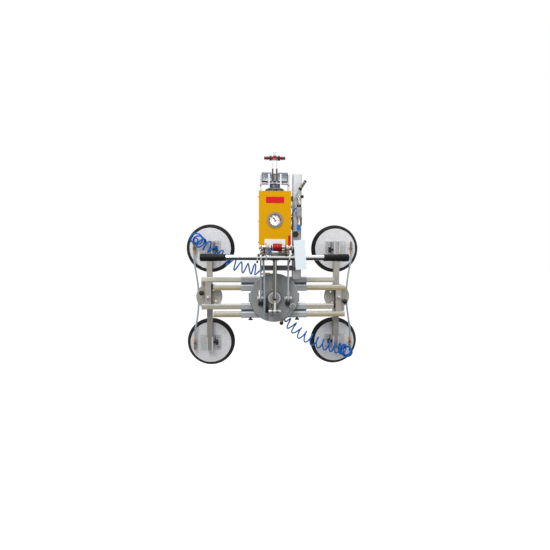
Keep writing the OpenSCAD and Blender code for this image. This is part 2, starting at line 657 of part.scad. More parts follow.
// Tilting head
module tilt_disc() color("slategray") place() difference() {
    rod_y(disc_d / 2, y_at(disc_front), y_at(disc_back), 0, 0);
    rod_y(spindle_r + slide_fit, y_at(disc_front) - 1, y_at(disc_back) + 1, 0, 0);
    rod_y(lock_pin_r + slide_fit, y_at(disc_front) - 1, y_at(disc_back) + 1, lock_x, lock_z);
}
clevis_in = side_in - 0.7 - ear_t;
clevis_out = side_out + 0.7 + ear_t;
disc_face = y_at(disc_front);
module ear(t, half_low, half_high, tip_y, tip_z, tip_r) rotate([90, 0, 90]) linear_extrude(t) union() {
    translate([tip_y, tip_z]) circle(tip_r);
    hull() {
        translate([tip_y, tip_z]) circle(tip_r, $fn = 32);
        translate([disc_face - 1, half_low]) square([1, half_high - half_low]);
    }
}
module tilt_brackets() color("darkgray") place() {
    for (side = [0, 1]) mirror([side, 0, 0]) difference() {
        union() {
            translate([clevis_in, 0, 0]) ear(ear_t, -28, 42, 0, 0, ear_r);
            translate([clevis_out - ear_t, 0, 0]) ear(ear_t, -28, 42, 0, 0, ear_r);
        }
        rod_x(tilt_pin_r + pin_fit, clevis_in - 1, clevis_out + 1, 0, 0);
    }
    for (side = [0, 1]) mirror([side, 0, 0]) {
        translate([crank_in, 0, 0]) ear(crank_t, -96, -hub_r - 8, crank_y, crank_z, crank_r);
        hex_x(8, crank_in + crank_t, crank_in + crank_t + 6, crank_y, crank_z);
        rod_x(5, crank_in + crank_t + 6, crank_in + crank_t + 9, crank_y, crank_z);
    }
}
module tilt_fittings() color("gray") place() {
    difference() {
        union() {
            rod_y(hub_r, disc_face - hub_len, disc_face, 0, 0);
            rod_y(hub_r + 6, disc_face - 5, disc_face, 0, 0);
        }
        rod_y(spindle_r + pin_fit, disc_face - hub_len - 1, disc_face + 1, 0, 0);
    }
    difference() {
        union() {
            rod_y(lock_body_r, disc_face - lock_body_len, disc_face, lock_x, lock_z);
            hex_y(19, disc_face - 7, disc_face, lock_x, lock_z);
        }
        rod_y(lock_pin_r + pin_fit, disc_face - lock_body_len - 1, disc_face + 1, lock_x, lock_z);
    }
    rod_z(8, -80, -46, -43, 8);
    rod_y(7, 8, disc_face, -43, -56);
    hex_z(9.5, -62, -50, -43, 8);
}
lever_low = disc_face - lock_body_len - 0.3;
module lock_lever() color("dimgray") place() {
    reach = [lock_ball[0] - lock_x, lock_ball[1] - lock_z];
    difference() {
        union() {
            rod_y(12, lever_low - 12, lever_low, lock_x, lock_z);
            translate([lock_x, lever_low - 6, lock_z]) rotate([0, atan2(reach[0], reach[1]), 0]) {
                translate([0, 0, 9]) cylinder(r = 3.5, h = norm(reach) - 9);
                translate([0, 0, norm(reach)]) sphere(lock_ball_r);
            }
        }
        rod_y(lock_pin_r + slide_fit, lever_low - 13, lever_low + 1, lock_x, lock_z);
    }
}
module lock_plunger() color("silver") place() {
    rod_y(lock_pin_r, disc_face - lock_body_len - 16, y_at(disc_back) + 0.5, lock_x, lock_z);
}

// Rotor
nut_y = disc_face - hub_len - 0.3;
module rotor_plate() color("gray") place() difference() {
    union() {
        rod_y(rotor_d / 2, y_at(rotor_front), y_at(sleeve_front), 0, 0);
        block([-rotor_bar / 2, y_at(rotor_front), -25], [rotor_bar / 2, y_at(sleeve_front), 25]);
        rod_y(spindle_r, nut_y - 6, y_at(sleeve_front) + 1, 0, 0);
        rod_y(spindle_r + 6, nut_y - 5, nut_y, 0, 0);
    }
    for (k = [0 : 3]) rotate([0, k * 90, 0])
        rod_y(lock_pin_r + pin_fit, y_at(rotor_front) - 1, y_at(sleeve_front) + 2, lock_x, lock_z);
    rod_y(spindle_r - 8, nut_y - 7, nut_y + 4, 0, 0);
}
row_z = [row_outer_z, row_inner_z, -row_inner_z, -row_outer_z];
module rail_sleeves() color("slategray") place() difference() {
    for (z = row_z) box_tube_x(-sleeve_len / 2, sleeve_len / 2, y_at(sleeve_front), y_at(sleeve_back),
        z - sleeve_h / 2, z + sleeve_h / 2, sleeve_wall);
    for (side = [-1, 1]) rod_z(screw_r + pin_fit, -row_outer_z - sleeve_h / 2 - 1,
        -row_outer_z - sleeve_h / 2 + sleeve_wall + 0.5, side * thumb_x, thumb_y);
}
brass_y = y_at(106);
module brass_stub() {
    block([-44, brass_y - 9, row_outer_z + sleeve_h / 2], [-20, brass_y + 9, row_outer_z + sleeve_h / 2 + 6]);
    rod_x(9, -42, -22, brass_y, 130);
    hex_x(8, -54, -42, brass_y, 130);
}
module rotor_fittings() color("peru") place() {
    brass_stub();
    opposite() brass_stub();
}
thumb_x = 132;
thumb_y = y_at(sleeve_front) + 12;
module thumb_screw(side) place() translate([side * thumb_x, thumb_y, -row_outer_z - sleeve_h / 2]) {
    rod_z(screw_r, -10, sleeve_wall, 0, 0);
    rod_z(7, -9, -slide_fit, 0, 0);
    block([-12, -2, -16], [12, 2, -8]);
}
module thumb_screw_left() color("black") thumb_screw(-1);
module thumb_screw_right() color("black") thumb_screw(1);

// Carriages: the right one is the left one turned half round the hub
rail_low = y_at(rail_front);
rail_high = y_at(rail_back);
module rails() for (z = [row_outer_z, -row_inner_z]) difference() {
    box_tube_x(-rail_out, rail_in, rail_low, rail_high, z - rail_h / 2, z + rail_h / 2, rail_wall);
}
module left_rails() color("tan") place() rails();
module right_rails() color("tan") place() opposite() rails();

post_top = row_outer_z - rail_h / 2;
post_foot = -row_inner_z + rail_h / 2;
module post() {
    difference() {
        union() {
            box_tube_z(-pad_x - post_w / 2, -pad_x + post_w / 2, rail_low, rail_high, post_foot,
                post_top, rail_wall);
            block([-pad_x - post_w / 2 - index_plate_w, y_at(index_plate_front), post_foot],
                [-pad_x - post_w / 2 + 1, y_at(index_plate_back), post_top]);
            translate([-pad_x, 0, 0])
                rod_y(9, y_at(index_plate_front) - 12, y_at(index_plate_front), index_pin_x, index_pin_z);
        }
        rod_y(pivot_r + pin_fit, rail_low - 1, rail_high + 1, -pad_x, 0);
        rod_y(index_pin_r + pin_fit, y_at(index_plate_front) - 14, rail_high + 1,
            -pad_x + index_pin_x, index_pin_z);
    }
    rod_y(pivot_r, rail_low - 2, y_at(arm_back) + 9, -pad_x, 0);
    hex_y(13, rail_low - 10, rail_low, -pad_x, 0);
    hex_y(13, y_at(arm_back) + slide_fit, y_at(arm_back) + 8, -pad_x, 0);
    rod_y(15, rail_high, y_at(index_front) - slide_fit, -pad_x, 0);
}
module left_post() color("darkgray") place() post();
module right_post() color("darkgray") place() opposite() post();

index_rest = y_at(index_front) - slide_fit;
module index_pin() translate([-pad_x + index_pin_x, 0, index_pin_z]) {
    rod_y(index_pin_r, y_at(index_plate_front) - 30, index_rest, 0, 0);
    rod_y(6.5, y_at(index_plate_front) - 34, y_at(index_plate_front) - 12 - 8 - slide_fit, 0, 0);
    translate([0, y_at(index_plate_front) - 40, 0]) sphere(ball_r);
}
module left_index_pin() color("black") place() index_pin();
module right_index_pin() color("black") place() opposite() index_pin();

// Arms
module arm() difference() {
    union() {
        box_tube_z(-pad_x - arm_w / 2, -pad_x + arm_w / 2, y_at(arm_front), y_at(arm_back),
            -arm_len / 2, arm_len / 2, arm_wall);
        rod_y(index_d / 2, y_at(index_front), y_at(arm_front), -pad_x, 0);
    }
    rod_y(pivot_r + pin_fit, y_at(index_front) - 1, y_at(arm_back) + 1, -pad_x, 0);
    for (k = [0 : index_step : 345]) translate([-pad_x, 0, 0]) rotate([0, k, 0])
        rod_y(index_pin_r + pin_fit, y_at(index_front) - 1, y_at(arm_front) + 0.01, index_pin_x, index_pin_z);
}
module left_arm() color("tan") place() arm();
module right_arm() color("tan") place() opposite() arm();

// Pads: drawn for the upper left, then mirrored and turned to the other three
module at_pad(low, right) place() rotate([0, right ? 180 : 0, 0]) mirror([0, 0, (low != right) ? 1 : 0])
    translate([-pad_x, 0, pad_z]) children();
bracket_y = y_at(bracket_front);
flange_in = arm_w / 2 + slide_fit;
flange_front = y_at(arm_front) - slide_fit;
module pad_plate() {
    difference() {
        union() {
            rod_y(plate_d / 2, y_at(plate_front), y_at(lip_depth), 0, 0);
            block([-bracket_w / 2, bracket_y, -bracket_h / 2],
                [bracket_w / 2, y_at(plate_front), bracket_h / 2]);
            for (side = [0, 1]) mirror([side, 0, 0]) {
                block([flange_in, flange_front - bracket_t, -flange_h / 2],
                    [flange_in + flange_t, bracket_y + 0.5, flange_h / 2]);
                block([flange_in - lip_turn, flange_front - bracket_t, -flange_h / 2],
                    [flange_in + flange_t, flange_front, flange_h / 2]);
            }
        }
        rod_x(screw_r + pin_fit, flange_in - 1, flange_in + flange_t + 1, knob_y, -knob_drop);
        for (x = [-1, 1], z = [-1, 0, 1]) rod_y(4.5, bracket_y - 1, y_at(plate_front) - 0.01,
            x * (bracket_w / 2 - 12), z * (bracket_h / 2 - 10));
    }
    rod_z(fitting_r, -fitting_half + 6, fitting_half + 6, fitting_x, fitting_y);
    rod_y(7, fitting_y, y_at(plate_front), fitting_x, 6);
    hex_z(8, -fitting_half + 18, -fitting_half + 30, fitting_x, fitting_y);
    hex_z(8, fitting_half - 18, fitting_half - 6, fitting_x, fitting_y);
}
lip_r = pad_d / 2;
edge_r = plate_d / 2;
module pad_lip() translate([0, pane_y, 0]) rotate([90, 0, 0]) rotate_extrude($fn = 64) polygon([
    [edge_r - 16, lip_depth], [edge_r, lip_depth], [edge_r, plate_front], [edge_r + 3, plate_front],
    [edge_r + 7, lip_depth - 2], [lip_r, 5], [lip_r, 1.5], [lip_r - 2, 0], [lip_r - 6, 0],
    [edge_r + 2, 10], [edge_r - 10, 14], [edge_r - 16, 16]]);
module pad_knob() {
    rod_x(screw_r, arm_w / 2 + 0.2, flange_in + flange_t + 20, knob_y, -knob_drop);
    rod_x(7, flange_in + flange_t + slide_fit, flange_in + flange_t + 16, knob_y, -knob_drop);
    translate([flange_in + flange_t + 14, knob_y, -knob_drop]) rotate([0, 90, 0]) star(16, 13, 5);
}
module pad_plate_tl() color("lightgray") at_pad(false, false) pad_plate();
module pad_plate_tr() color("lightgray") at_pad(false, true) pad_plate();
module pad_plate_bl() color("lightgray") at_pad(true, false) pad_plate();
module pad_plate_br() color("lightgray") at_pad(true, true) pad_plate();
module pad_lip_tl() color("black") at_pad(false, false) pad_lip();
module pad_lip_tr() color("black") at_pad(false, true) pad_lip();
module pad_lip_bl() color("black") at_pad(true, false) pad_lip();
module pad_lip_br() color("black") at_pad(true, true) pad_lip();
module pad_knob_tl() color("black") at_pad(false, false) pad_knob();
module pad_knob_tr() color("black") at_pad(false, true) pad_knob();
module pad_knob_bl() color("black") at_pad(true, false) pad_knob();
module pad_knob_br() color("black") at_pad(true, true) pad_knob();

// Hoses of the pads
fitting_end = pad_z + fitting_half + 6;
module coil_left() color("royalblue") place() curly_hose(route_left, [-pad_x + fitting_x, 50, 317],
    [-54, 106, 130], curls_left);
module coil_right() color("royalblue") place() curly_hose(route_right, [pad_x - fitting_x, 50, -317],
    [54, 106, -130], curls_right);
hose_end = pad_z - fitting_half + 6 - end_gap;
module pad_hose() {
    n = len(route_pad) - 1;
    route = [for (i = [0 : n]) [-pad_x + fitting_x + route_pad[i], fitting_y, hose_end * (1 - 2 * i / n)]];
    points = smooth(route, 2);
    swept_tube(points, [for (p = points) [0, 1, 0]], 5, 8);
}
module pad_hose_left() color("lightcyan") place() pad_hose();
module pad_hose_right() color("lightcyan") place() opposite() pad_hose();

side_plates();
crossbar();
mast();
top_channel();
lifting_eye();
eye_cheeks();
tank_housing();
box_cover();
frame_bolts();
gauge_case();
gauge_glass();
gauge_needle();
blank_plates();
handlebar();
handle_grips();
valve_block();
slide_sleeve();
ball_lever();
mast_knob();
inlet_fittings();
inlet_knob();
shutoff_sleeve();
inlet_hoses();
main_hose();
strut_tube();
strut_rod();
tilt_disc();
tilt_brackets();
tilt_fittings();
lock_lever();
lock_plunger();
rotor_plate();
rail_sleeves();
rotor_fittings();
thumb_screw_left();
thumb_screw_right();
left_rails();
right_rails();
left_post();
right_post();
left_index_pin();
right_index_pin();
left_arm();
right_arm();
pad_plate_tl();
pad_plate_tr();
pad_plate_bl();
pad_plate_br();
pad_lip_tl();
pad_lip_tr();
pad_lip_bl();
pad_lip_br();
pad_knob_tl();
pad_knob_tr();
pad_knob_bl();
pad_knob_br();
coil_left();
coil_right();
pad_hose_left();
pad_hose_right();
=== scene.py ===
"""Looks of the glass panel lifter: hoses, grips, lips, plates and fittings round the CAD frame.

Shapes are worked out in hub millimetres, as in the part's source: x to the right, y away from the operator,
z up, from the middle of the tilting disc. metres() moves them into the frame, whose origin is the lifting
eye. Zones of colour are given in the frame's metres, which is what a material reads.
"""
import math

import bpy
import numpy as np
from mathutils import Matrix, Vector


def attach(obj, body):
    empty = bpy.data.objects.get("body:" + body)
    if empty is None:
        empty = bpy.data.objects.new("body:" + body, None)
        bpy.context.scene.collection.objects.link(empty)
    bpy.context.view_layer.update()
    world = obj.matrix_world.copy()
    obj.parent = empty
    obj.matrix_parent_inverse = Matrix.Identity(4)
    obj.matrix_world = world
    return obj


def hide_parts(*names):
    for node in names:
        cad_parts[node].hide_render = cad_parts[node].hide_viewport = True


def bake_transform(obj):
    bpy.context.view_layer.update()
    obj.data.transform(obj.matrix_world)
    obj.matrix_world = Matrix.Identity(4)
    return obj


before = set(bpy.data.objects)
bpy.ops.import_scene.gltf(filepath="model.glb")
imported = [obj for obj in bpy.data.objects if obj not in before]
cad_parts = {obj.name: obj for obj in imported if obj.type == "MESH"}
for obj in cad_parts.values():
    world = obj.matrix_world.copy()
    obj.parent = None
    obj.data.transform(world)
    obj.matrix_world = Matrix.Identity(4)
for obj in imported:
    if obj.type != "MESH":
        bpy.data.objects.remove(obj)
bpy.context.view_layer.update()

EYE_HEIGHT = 782.0                                     # of the eye above the hub
PANE = 167.0                                           # y of the glass under the pads
PAD_X, PAD_Z = 367.0, 276.0                            # middle of a pad, and the pivots' x
BRACKET_FACE = 137.0                                   # y of the front of a pad's bracket
FITTING_X, FITTING_Y, FITTING_Z = 456.0, 117.0, 246.0  # mouth of a pad's hose fitting
BOX_FACE = -50.02                                      # y of the front of the yellow box
BAR_Y, BAR_Z = -75.0, 223.0                            # middle of the handlebar
VALVE_Z = 276.0                                        # middle of the valve line above it
DIAL_Z = 421.0                                         # middle of the gauge
CRANK_Y, CRANK_Z = -45.0, -65.0                        # pin of the crank that the strut pushes
RIGHT, FRONT, UP, DOWN = (1, 0, 0), (0, -1, 0), (0, 0, 1), (0, 0, -1)
SIDES = (("left", -1.0), ("right", 1.0))


def metres(points):
    """Hub millimetres to frame metres: z falls by the eye's height, then all is divided by 1000."""
    return (np.asarray(points, float) - (0.0, 0.0, EYE_HEIGHT)) * 0.001


def unit(vectors):
    """Each vector divided by its length."""
    return vectors / np.linalg.norm(vectors, axis=-1, keepdims=True)


def added(name, data):
    """A new object that holds the data, in the scene."""
    made = bpy.data.objects.new(name, data)
    bpy.context.collection.objects.link(made)
    return made


# Camera: 1.84 m in front of the tilt axis, a little left and above, turned 2.9 degrees right and 3.1 down

CAMERA_PLACE = (-0.0911, -1.8386, -0.5556)
CAMERA_YAW, CAMERA_PITCH, CAMERA_ROLL = 0.0512, 0.0536, 0.0024
FOCAL_LENGTH, SENSOR_WIDTH = 22.02, 36.0


def stand_camera():
    """Ahead = (sin yaw cos pitch, cos yaw cos pitch, -sin pitch); the roll mixes side and up."""
    level = math.cos(CAMERA_PITCH)
    ahead = Vector((math.sin(CAMERA_YAW) * level, math.cos(CAMERA_YAW) * level, -math.sin(CAMERA_PITCH)))
    side = Vector((math.cos(CAMERA_YAW), -math.sin(CAMERA_YAW), 0.0))
    up = side.cross(ahead)
    cos, sin = math.cos(CAMERA_ROLL), math.sin(CAMERA_ROLL)
    turn = Matrix((side * cos + up * sin, up * cos - side * sin, -ahead)).transposed()
    camera = added("camera", bpy.data.cameras.new("camera"))
    camera.data.lens, camera.data.sensor_width = FOCAL_LENGTH, SENSOR_WIDTH
    camera.data.clip_start, camera.data.clip_end = 0.05, 60.0
    camera.matrix_world = Matrix.Translation(CAMERA_PLACE) @ turn.to_4x4()
    bpy.context.scene.camera = camera


stand_camera()


# Node work: the settings of a node are its fields, and its inputs take a value or another node's output

def feed(tree, node, inputs):
    for socket, value in inputs.items():
        if isinstance(value, bpy.types.NodeSocket):
            tree.links.new(value, node.inputs[socket])
        else:
            node.inputs[socket].default_value = value
    return node


def put(tree, kind, inputs=None, **fields):
    made = tree.nodes.new("ShaderNode" + kind)
    for field, value in fields.items():
        setattr(made, field, value)
    return feed(tree, made, inputs or {})


def calc(tree, operation, *values):
    return put(tree, "Math", dict(enumerate(values)), operation=operation).outputs[0]


def chain(tree, operation, first, *others):
    """The first value, joined to each of the others in turn."""
    for other in others:
        first = calc(tree, operation, first, other)
    return first


def times(tree, *values):
    return chain(tree, "MULTIPLY", *values)


def blend_colour(tree, share, low, high):
    """The colour low, or high where the share is 1: inputs 6 and 7 of a Mix node are its two colours."""
    return put(tree, "Mix", {0: share, 6: low, 7: high}, data_type="RGBA").outputs[2]


def within(tree, value, low, high):
    """1 where value lies between low and high, 0 outside."""
    return times(tree, calc(tree, "GREATER_THAN", value, low), calc(tree, "LESS_THAN", value, high))


def ranged(tree, value, low=0.0, high=1.0, to_low=0.0, to_high=1.0, **fields):
    """The value's share of the way from low to high, laid on the way from to_low to to_high."""
    return put(tree, "MapRange", {"Value": value, "From Min": low, "From Max": high, "To Min": to_low,
                                  "To Max": to_high}, **fields).outputs[0]


def noise(tree, place, scale, detail=2.0, rough=0.5):
    return put(tree, "TexNoise", {"Vector": place, "Scale": scale, "Detail": detail,
                                  "Roughness": rough}).outputs[0]


def centred(tree, value):
    return calc(tree, "SUBTRACT", value, 0.5)


def toned(tree, colour, swing, amount):
    """The colour times 1 + swing times amount."""
    lift = calc(tree, "MULTIPLY_ADD", swing, amount, 1.0)
    return put(tree, "VectorMath", {0: colour, "Scale": lift}, operation="SCALE").outputs[0]


def own_place(tree):
    return put(tree, "TexCoord").outputs["Object"]


def along_axes(tree, vector):
    return put(tree, "SeparateXYZ", {0: vector}).outputs


def shade_group(name, inputs, outputs):
    """A node group with the named inputs (name, kind, default) and outputs (name, kind)."""
    tree = bpy.data.node_groups.new(name, "ShaderNodeTree")
    for label, kind, default in inputs:
        socket = tree.interface.new_socket(name=label, in_out="INPUT", socket_type="NodeSocket" + kind)
        socket.default_value = default
    for label, kind in outputs:
        tree.interface.new_socket(name=label, in_out="OUTPUT", socket_type="NodeSocket" + kind)
    return tree, tree.nodes.new("NodeGroupInput").outputs, tree.nodes.new("NodeGroupOutput")


def wear_and_under_shade_group():
    """Colour in soft patches, rubbed edges, and painted shade on undersides mixed with dirt, with a fine
    grain.

    Patch = broad noise about 1. Rub = how far the rounded normal leans from the true one, broken by noise.
    Shade and dirt = painted shade by how far the face looks down, plus broad patches of dirt."""
    tree, given, result = shade_group("wear_and_under_shade", [
        ("Base", "Color", (0.5, 0.5, 0.5, 1)), ("Rubbed", "Color", (0.7, 0.7, 0.7, 1)),
        ("Shade and Dirt Colour", "Color", (0.1, 0.09, 0.08, 1)), ("Patch Scale", "Float", 14.0), ("Patches", "Float", 0.15),
        ("Rub", "Float", 0.5), ("Under Shade and Dirt", "Float", 0.2), ("Roughness", "Float", 0.4),
        ("Grain Scale", "Float", 900.0), ("Uneven", "Float", 0.1)],
        [("Color", "Color"), ("Roughness", "Float"), ("Height", "Float")])
    place = own_place(tree)
    facing = put(tree, "NewGeometry").outputs["Normal"]
    broad = noise(tree, place, given["Patch Scale"], 4.0, 0.62)
    swing = centred(tree, broad)
    patched = toned(tree, given["Base"], swing, given["Patches"])
    rounded = put(tree, "Bevel", {"Radius": 0.0016}, samples=4).outputs[0]
    lean = put(tree, "VectorMath", {0: rounded, 1: facing}, operation="DOT_PRODUCT").outputs["Value"]
    edge = ranged(tree, lean, 0.99, 0.8)
    broken = ranged(tree, noise(tree, place, 160.0, 3.0, 0.7), 0.4, 0.62)
    rub = times(tree, edge, broken, given["Rub"])
    # painted shade: a face is darker the more it looks down
    under = ranged(tree, along_axes(tree, facing)[2], 0.3, -0.9)
    spread = ranged(tree, broad, 0.32, 0.66)
    shade_and_dirt = times(tree, calc(tree, "MULTIPLY_ADD", under, 0.75, times(tree, spread, 0.25)), given["Under Shade and Dirt"])
    shaded_and_dirtied = blend_colour(tree, shade_and_dirt, patched, given["Shade and Dirt Colour"])
    rougher = calc(tree, "MULTIPLY_ADD", swing, given["Uneven"], given["Roughness"])
    feed(tree, result, {"Color": blend_colour(tree, rub, shaded_and_dirtied, given["Rubbed"]),
                        "Roughness": calc(tree, "MULTIPLY_ADD", shade_and_dirt, 0.25, rougher),
                        "Height": noise(tree, place, given["Grain Scale"])})
    return tree


def drawn_lines_group():
    """Fine lines left by drawing or brushing: noise stretched by the Stretch vector, as tone and height."""
    tree, given, result = shade_group("drawn_lines", [
        ("Base", "Color", (0.5, 0.5, 0.5, 1)), ("Stretch", "Vector", (4.0, 500.0, 500.0)),
        ("Amount", "Float", 0.2)], [("Color", "Color"), ("Height", "Float")])
    pulled = put(tree, "VectorMath", {0: own_place(tree), 1: given["Stretch"]}, operation="MULTIPLY")
    lines = noise(tree, pulled.outputs[0], 1.0, 3.0, 0.6)
    feed(tree, result, {"Color": toned(tree, given["Base"], centred(tree, lines), given["Amount"]),
                        "Height": lines})
    return tree


def spangle_group():
    """Crystals of a cast or zinc coat: each cell of a Voronoi pattern has its own tone, with small pits."""
    tree, given, result = shade_group("spangle", [
        ("Base", "Color", (0.5, 0.5, 0.5, 1)), ("Cells", "Float", 180.0), ("Amount", "Float", 0.2)],
        [("Color", "Color"), ("Height", "Float")])
    place = own_place(tree)
    cells = put(tree, "TexVoronoi", {"Vector": place, "Scale": given["Cells"]}).outputs["Color"]
    tone = along_axes(tree, cells)[0]
    pits = noise(tree, place, 420.0, 3.0)
    mixed = calc(tree, "ADD", centred(tree, tone), centred(tree, pits))
    feed(tree, result, {"Color": toned(tree, given["Base"], mixed, given["Amount"]),
                        "Height": calc(tree, "MULTIPLY_ADD", tone, 0.3, pits)})
    return tree


WEAR_AND_SHADE, DRAWN, SPANGLE = wear_and_under_shade_group(), drawn_lines_group(), spangle_group()


def shown(red, green, blue):
    """A colour as it shows on screen, 0 to 255, to the linear colour of a shader."""
    parts = [value / 255 for value in (red, green, blue)]
    return tuple(p / 12.92 if p <= 0.04045 else ((p + 0.055) / 1.055) ** 2.4 for p in parts) + (1.0,)


BUMP_DEPTH = 0.0006        # metres
SHEEN = 0.28               # Specular IOR Level of a finish that names none


def new_material(name):
    made = bpy.data.materials.new(name)
    made.use_nodes = True
    return made, made.node_tree, made.node_tree.nodes["Principled BSDF"]


def finish(name, base, rough, metallic=0.0, rubbed=None, patches=0.15, patch=14.0, rub=0.4, under_shade_and_dirt=0.15,
           shade_and_dirt=(52, 48, 42), grain=900.0, bump=0.15, drawn=None, spangle=None, zones=(), **shader):
    """A material: the base colour and its zones; wear, dirt and painted shade on undersides; then drawn
    lines or spangle.
    """
    made, tree, principled = new_material(name)
    colour = shown(*base)
    if zones:
        place = along_axes(tree, own_place(tree))
        for mask, paint in zones:
            colour = blend_colour(tree, mask(tree, place), colour, shown(*paint))
    rubbed = rubbed or tuple(min(255, c + 45) for c in base)
    wear_and_shade = put(tree, "Group", {
        "Base": colour, "Rubbed": shown(*rubbed), "Shade and Dirt Colour": shown(*shade_and_dirt), "Patches": patches,
        "Patch Scale": patch, "Rub": rub, "Under Shade and Dirt": under_shade_and_dirt, "Roughness": rough, "Grain Scale": grain},
        node_tree=WEAR_AND_SHADE).outputs
    colour, height = wear_and_shade["Color"], wear_and_shade["Height"]
    for group, settings in ((DRAWN, drawn), (SPANGLE, spangle)):
        if settings:
            laid = put(tree, "Group", {0: colour, 1: settings[0], 2: settings[1]}, node_tree=group).outputs
            colour, height = laid[0], calc(tree, "ADD", height, laid[1])
    raised = put(tree, "Bump", {"Strength": bump, "Distance": BUMP_DEPTH, "Height": height}).outputs[0]
    feed(tree, principled, {"Base Color": colour, "Roughness": wear_and_shade["Roughness"], "Normal": raised,
                            "Metallic": metallic, "Specular IOR Level": SHEEN})
    feed(tree, principled, {socket.replace("_", " "): value for socket, value in shader.items()})
    return made


# Zones: another colour takes the place of the base where a mask is 1

def zone(paint, **ranges):
    """Inside the ranges given along x, y, z or wide, which stands for |x|.

    Between the two heights of falls, the colour comes in from the first to the second."""
    def mask(tree, place):
        held = []
        for axis, (first, second) in ranges.items():
            if axis == "falls":
                held.append(ranged(tree, place[2], first, second, interpolation_type="SMOOTHSTEP"))
            elif axis == "wide":
                held.append(within(tree, calc(tree, "ABSOLUTE", place[0]), first, second))
            else:
                held.append(within(tree, place["xyz".index(axis)], first, second))
        return times(tree, *held)
    return mask, paint


def bands(paint, edges, low, high):
    """From low to high above each of the edges that run along x, all in hub millimetres."""
    def mask(tree, place):
        ends = [[(edge + side - EYE_HEIGHT) / 1000 for side in (low, high)] for edge in edges]
        return chain(tree, "MAXIMUM", *(within(tree, place[2], *pair) for pair in ends))
    return mask, paint


YELLOW = finish("yellow_powder_coat", (221, 161, 0), 0.46, rubbed=(236, 190, 60), patches=0.07, rub=0.5,
    under_shade_and_dirt=0.12, grain=1400.0, bump=0.1, Specular_IOR_Level=0.06)
SLEEVE = finish("sleeve_grey_paint", (164, 169, 173), 0.48, rubbed=(176, 178, 178), patches=0.16, rub=0.7,
    under_shade_and_dirt=0.2, grain=1100.0, bump=0.12, zones=[
        bands((226, 230, 233), (115, 70.5, -36.5, -81), -6.5, 1),   # painted highlight along the top edges
        bands((66, 69, 72), (81, 36.5, -70.5, -115), -1, 3.6)])     # painted shade along the lower edges
# rim of the tilting disc, with painted shade on its lower part
DISC_RIM = finish("disc_rim_zinc", (196, 198, 200), 0.3, 0.7, rubbed=(240, 240, 240), patches=0.3,
    patch=90.0, under_shade_and_dirt=0.2, bump=0.06, zones=[zone((62, 64, 66), z=(-0.95, -0.8))])
DISC = finish("disc_grey_paint", (143, 146, 147), 0.45, rubbed=(190, 190, 188), patches=0.22, patch=9.0,
    rub=0.9, under_shade_and_dirt=0.18, grain=700.0, bump=0.14, drawn=((300.0, 300.0, 5.0), 0.1))
RAIL_ZINC = finish("rail_zinc", (194, 187, 169), 0.4, 0.35, rubbed=(206, 202, 190), patches=0.35,
    patch=11.0, under_shade_and_dirt=0.35, shade_and_dirt=(110, 92, 62), spangle=(170.0, 0.12), bump=0.1,
    drawn=((3.0, 260.0, 260.0), 0.16), zones=[
        zone((206, 206, 196), z=(-0.698, -0.67)),                   # first row, from the top
        zone((170, 168, 158), z=(-0.8495, -0.8215)),                # third row
        bands((164, 148, 116), (53.5, -98), -11.5, -1.5),           # second and fourth
        bands((168, 162, 144), (98, -53.5), -11.5, -5),             # first and third
        bands((234, 232, 226), (112, 67.5, -39.5, -84), -4.6, 1),   # painted highlight along the top edges
        bands((118, 104, 82), (84, 39.5, -67.5, -112), -1, 2.0)])   # painted shade along the lower edges
ARM_ZINC = finish("arm_zinc", (170, 168, 160), 0.4, 0.35, rubbed=(206, 204, 196), patches=0.3, patch=12.0,
    under_shade_and_dirt=0.3, shade_and_dirt=(96, 88, 70), spangle=(170.0, 0.12), bump=0.1,
    drawn=((260.0, 260.0, 3.0), 0.18), zones=[zone((142, 140, 134), falls=(-0.84, -0.9))])
POST_ZINC = finish("post_zinc", (170, 167, 158), 0.38, 0.35, rubbed=(206, 204, 196), patches=0.32,
    patch=12.0, under_shade_and_dirt=0.3, shade_and_dirt=(100, 88, 64), spangle=(170.0, 0.12), bump=0.1, zones=[
        # the pivot's bolt, the whole index disc, its lower half, and painted shade on the post's inner side
        # face
        zone((226, 228, 232), wide=(0.352, 0.382), y=(0.03, 0.0437), z=(-0.797, -0.767)),
        zone((204, 188, 156), wide=(0.29, 0.45), y=(0.083, 0.089), z=(-0.845, -0.72)),
        zone((196, 174, 134), wide=(0.29, 0.45), y=(0.083, 0.089), z=(-0.845, -0.785)),
        zone((74, 76, 80), wide=(0.3485, 0.3516))])
PALE_ZINC = finish("side_plate_zinc", (206, 209, 212), 0.36, 0.3, rubbed=(236, 238, 240), patches=0.16,
    under_shade_and_dirt=0.2, shade_and_dirt=(110, 108, 104), drawn=((260.0, 260.0, 6.0), 0.1), bump=0.08, zones=[
        zone((150, 155, 160), falls=(-0.54, -0.6), x=(-0.09, 0.0)),   # below the bar, left
        zone((178, 180, 182), falls=(-0.54, -0.6), x=(0.0, 0.09)),    # and right
        zone((62, 67, 76), z=(-0.604, -0.5715), y=(-0.1, -0.021), x=(0.06, 0.09))])   # ear
MAST = finish("mast_anodised", (214, 218, 221), 0.4, 0.3, patches=0.12, rub=0.3, under_shade_and_dirt=0.2,
    shade_and_dirt=(96, 98, 100), drawn=((380.0, 380.0, 3.0), 0.12), bump=0.08, zones=[
        zone((178, 182, 186), falls=(-0.22, -0.42)), zone((158, 160, 163), falls=(-0.46, -0.6)),
        zone((96, 100, 104), x=(0.0955, 0.099), y=(-0.0245, -0.0195)),   # painted shade on the two front corners
        zone((96, 100, 104), x=(0.1405, 0.1435), y=(-0.0245, -0.0195))])
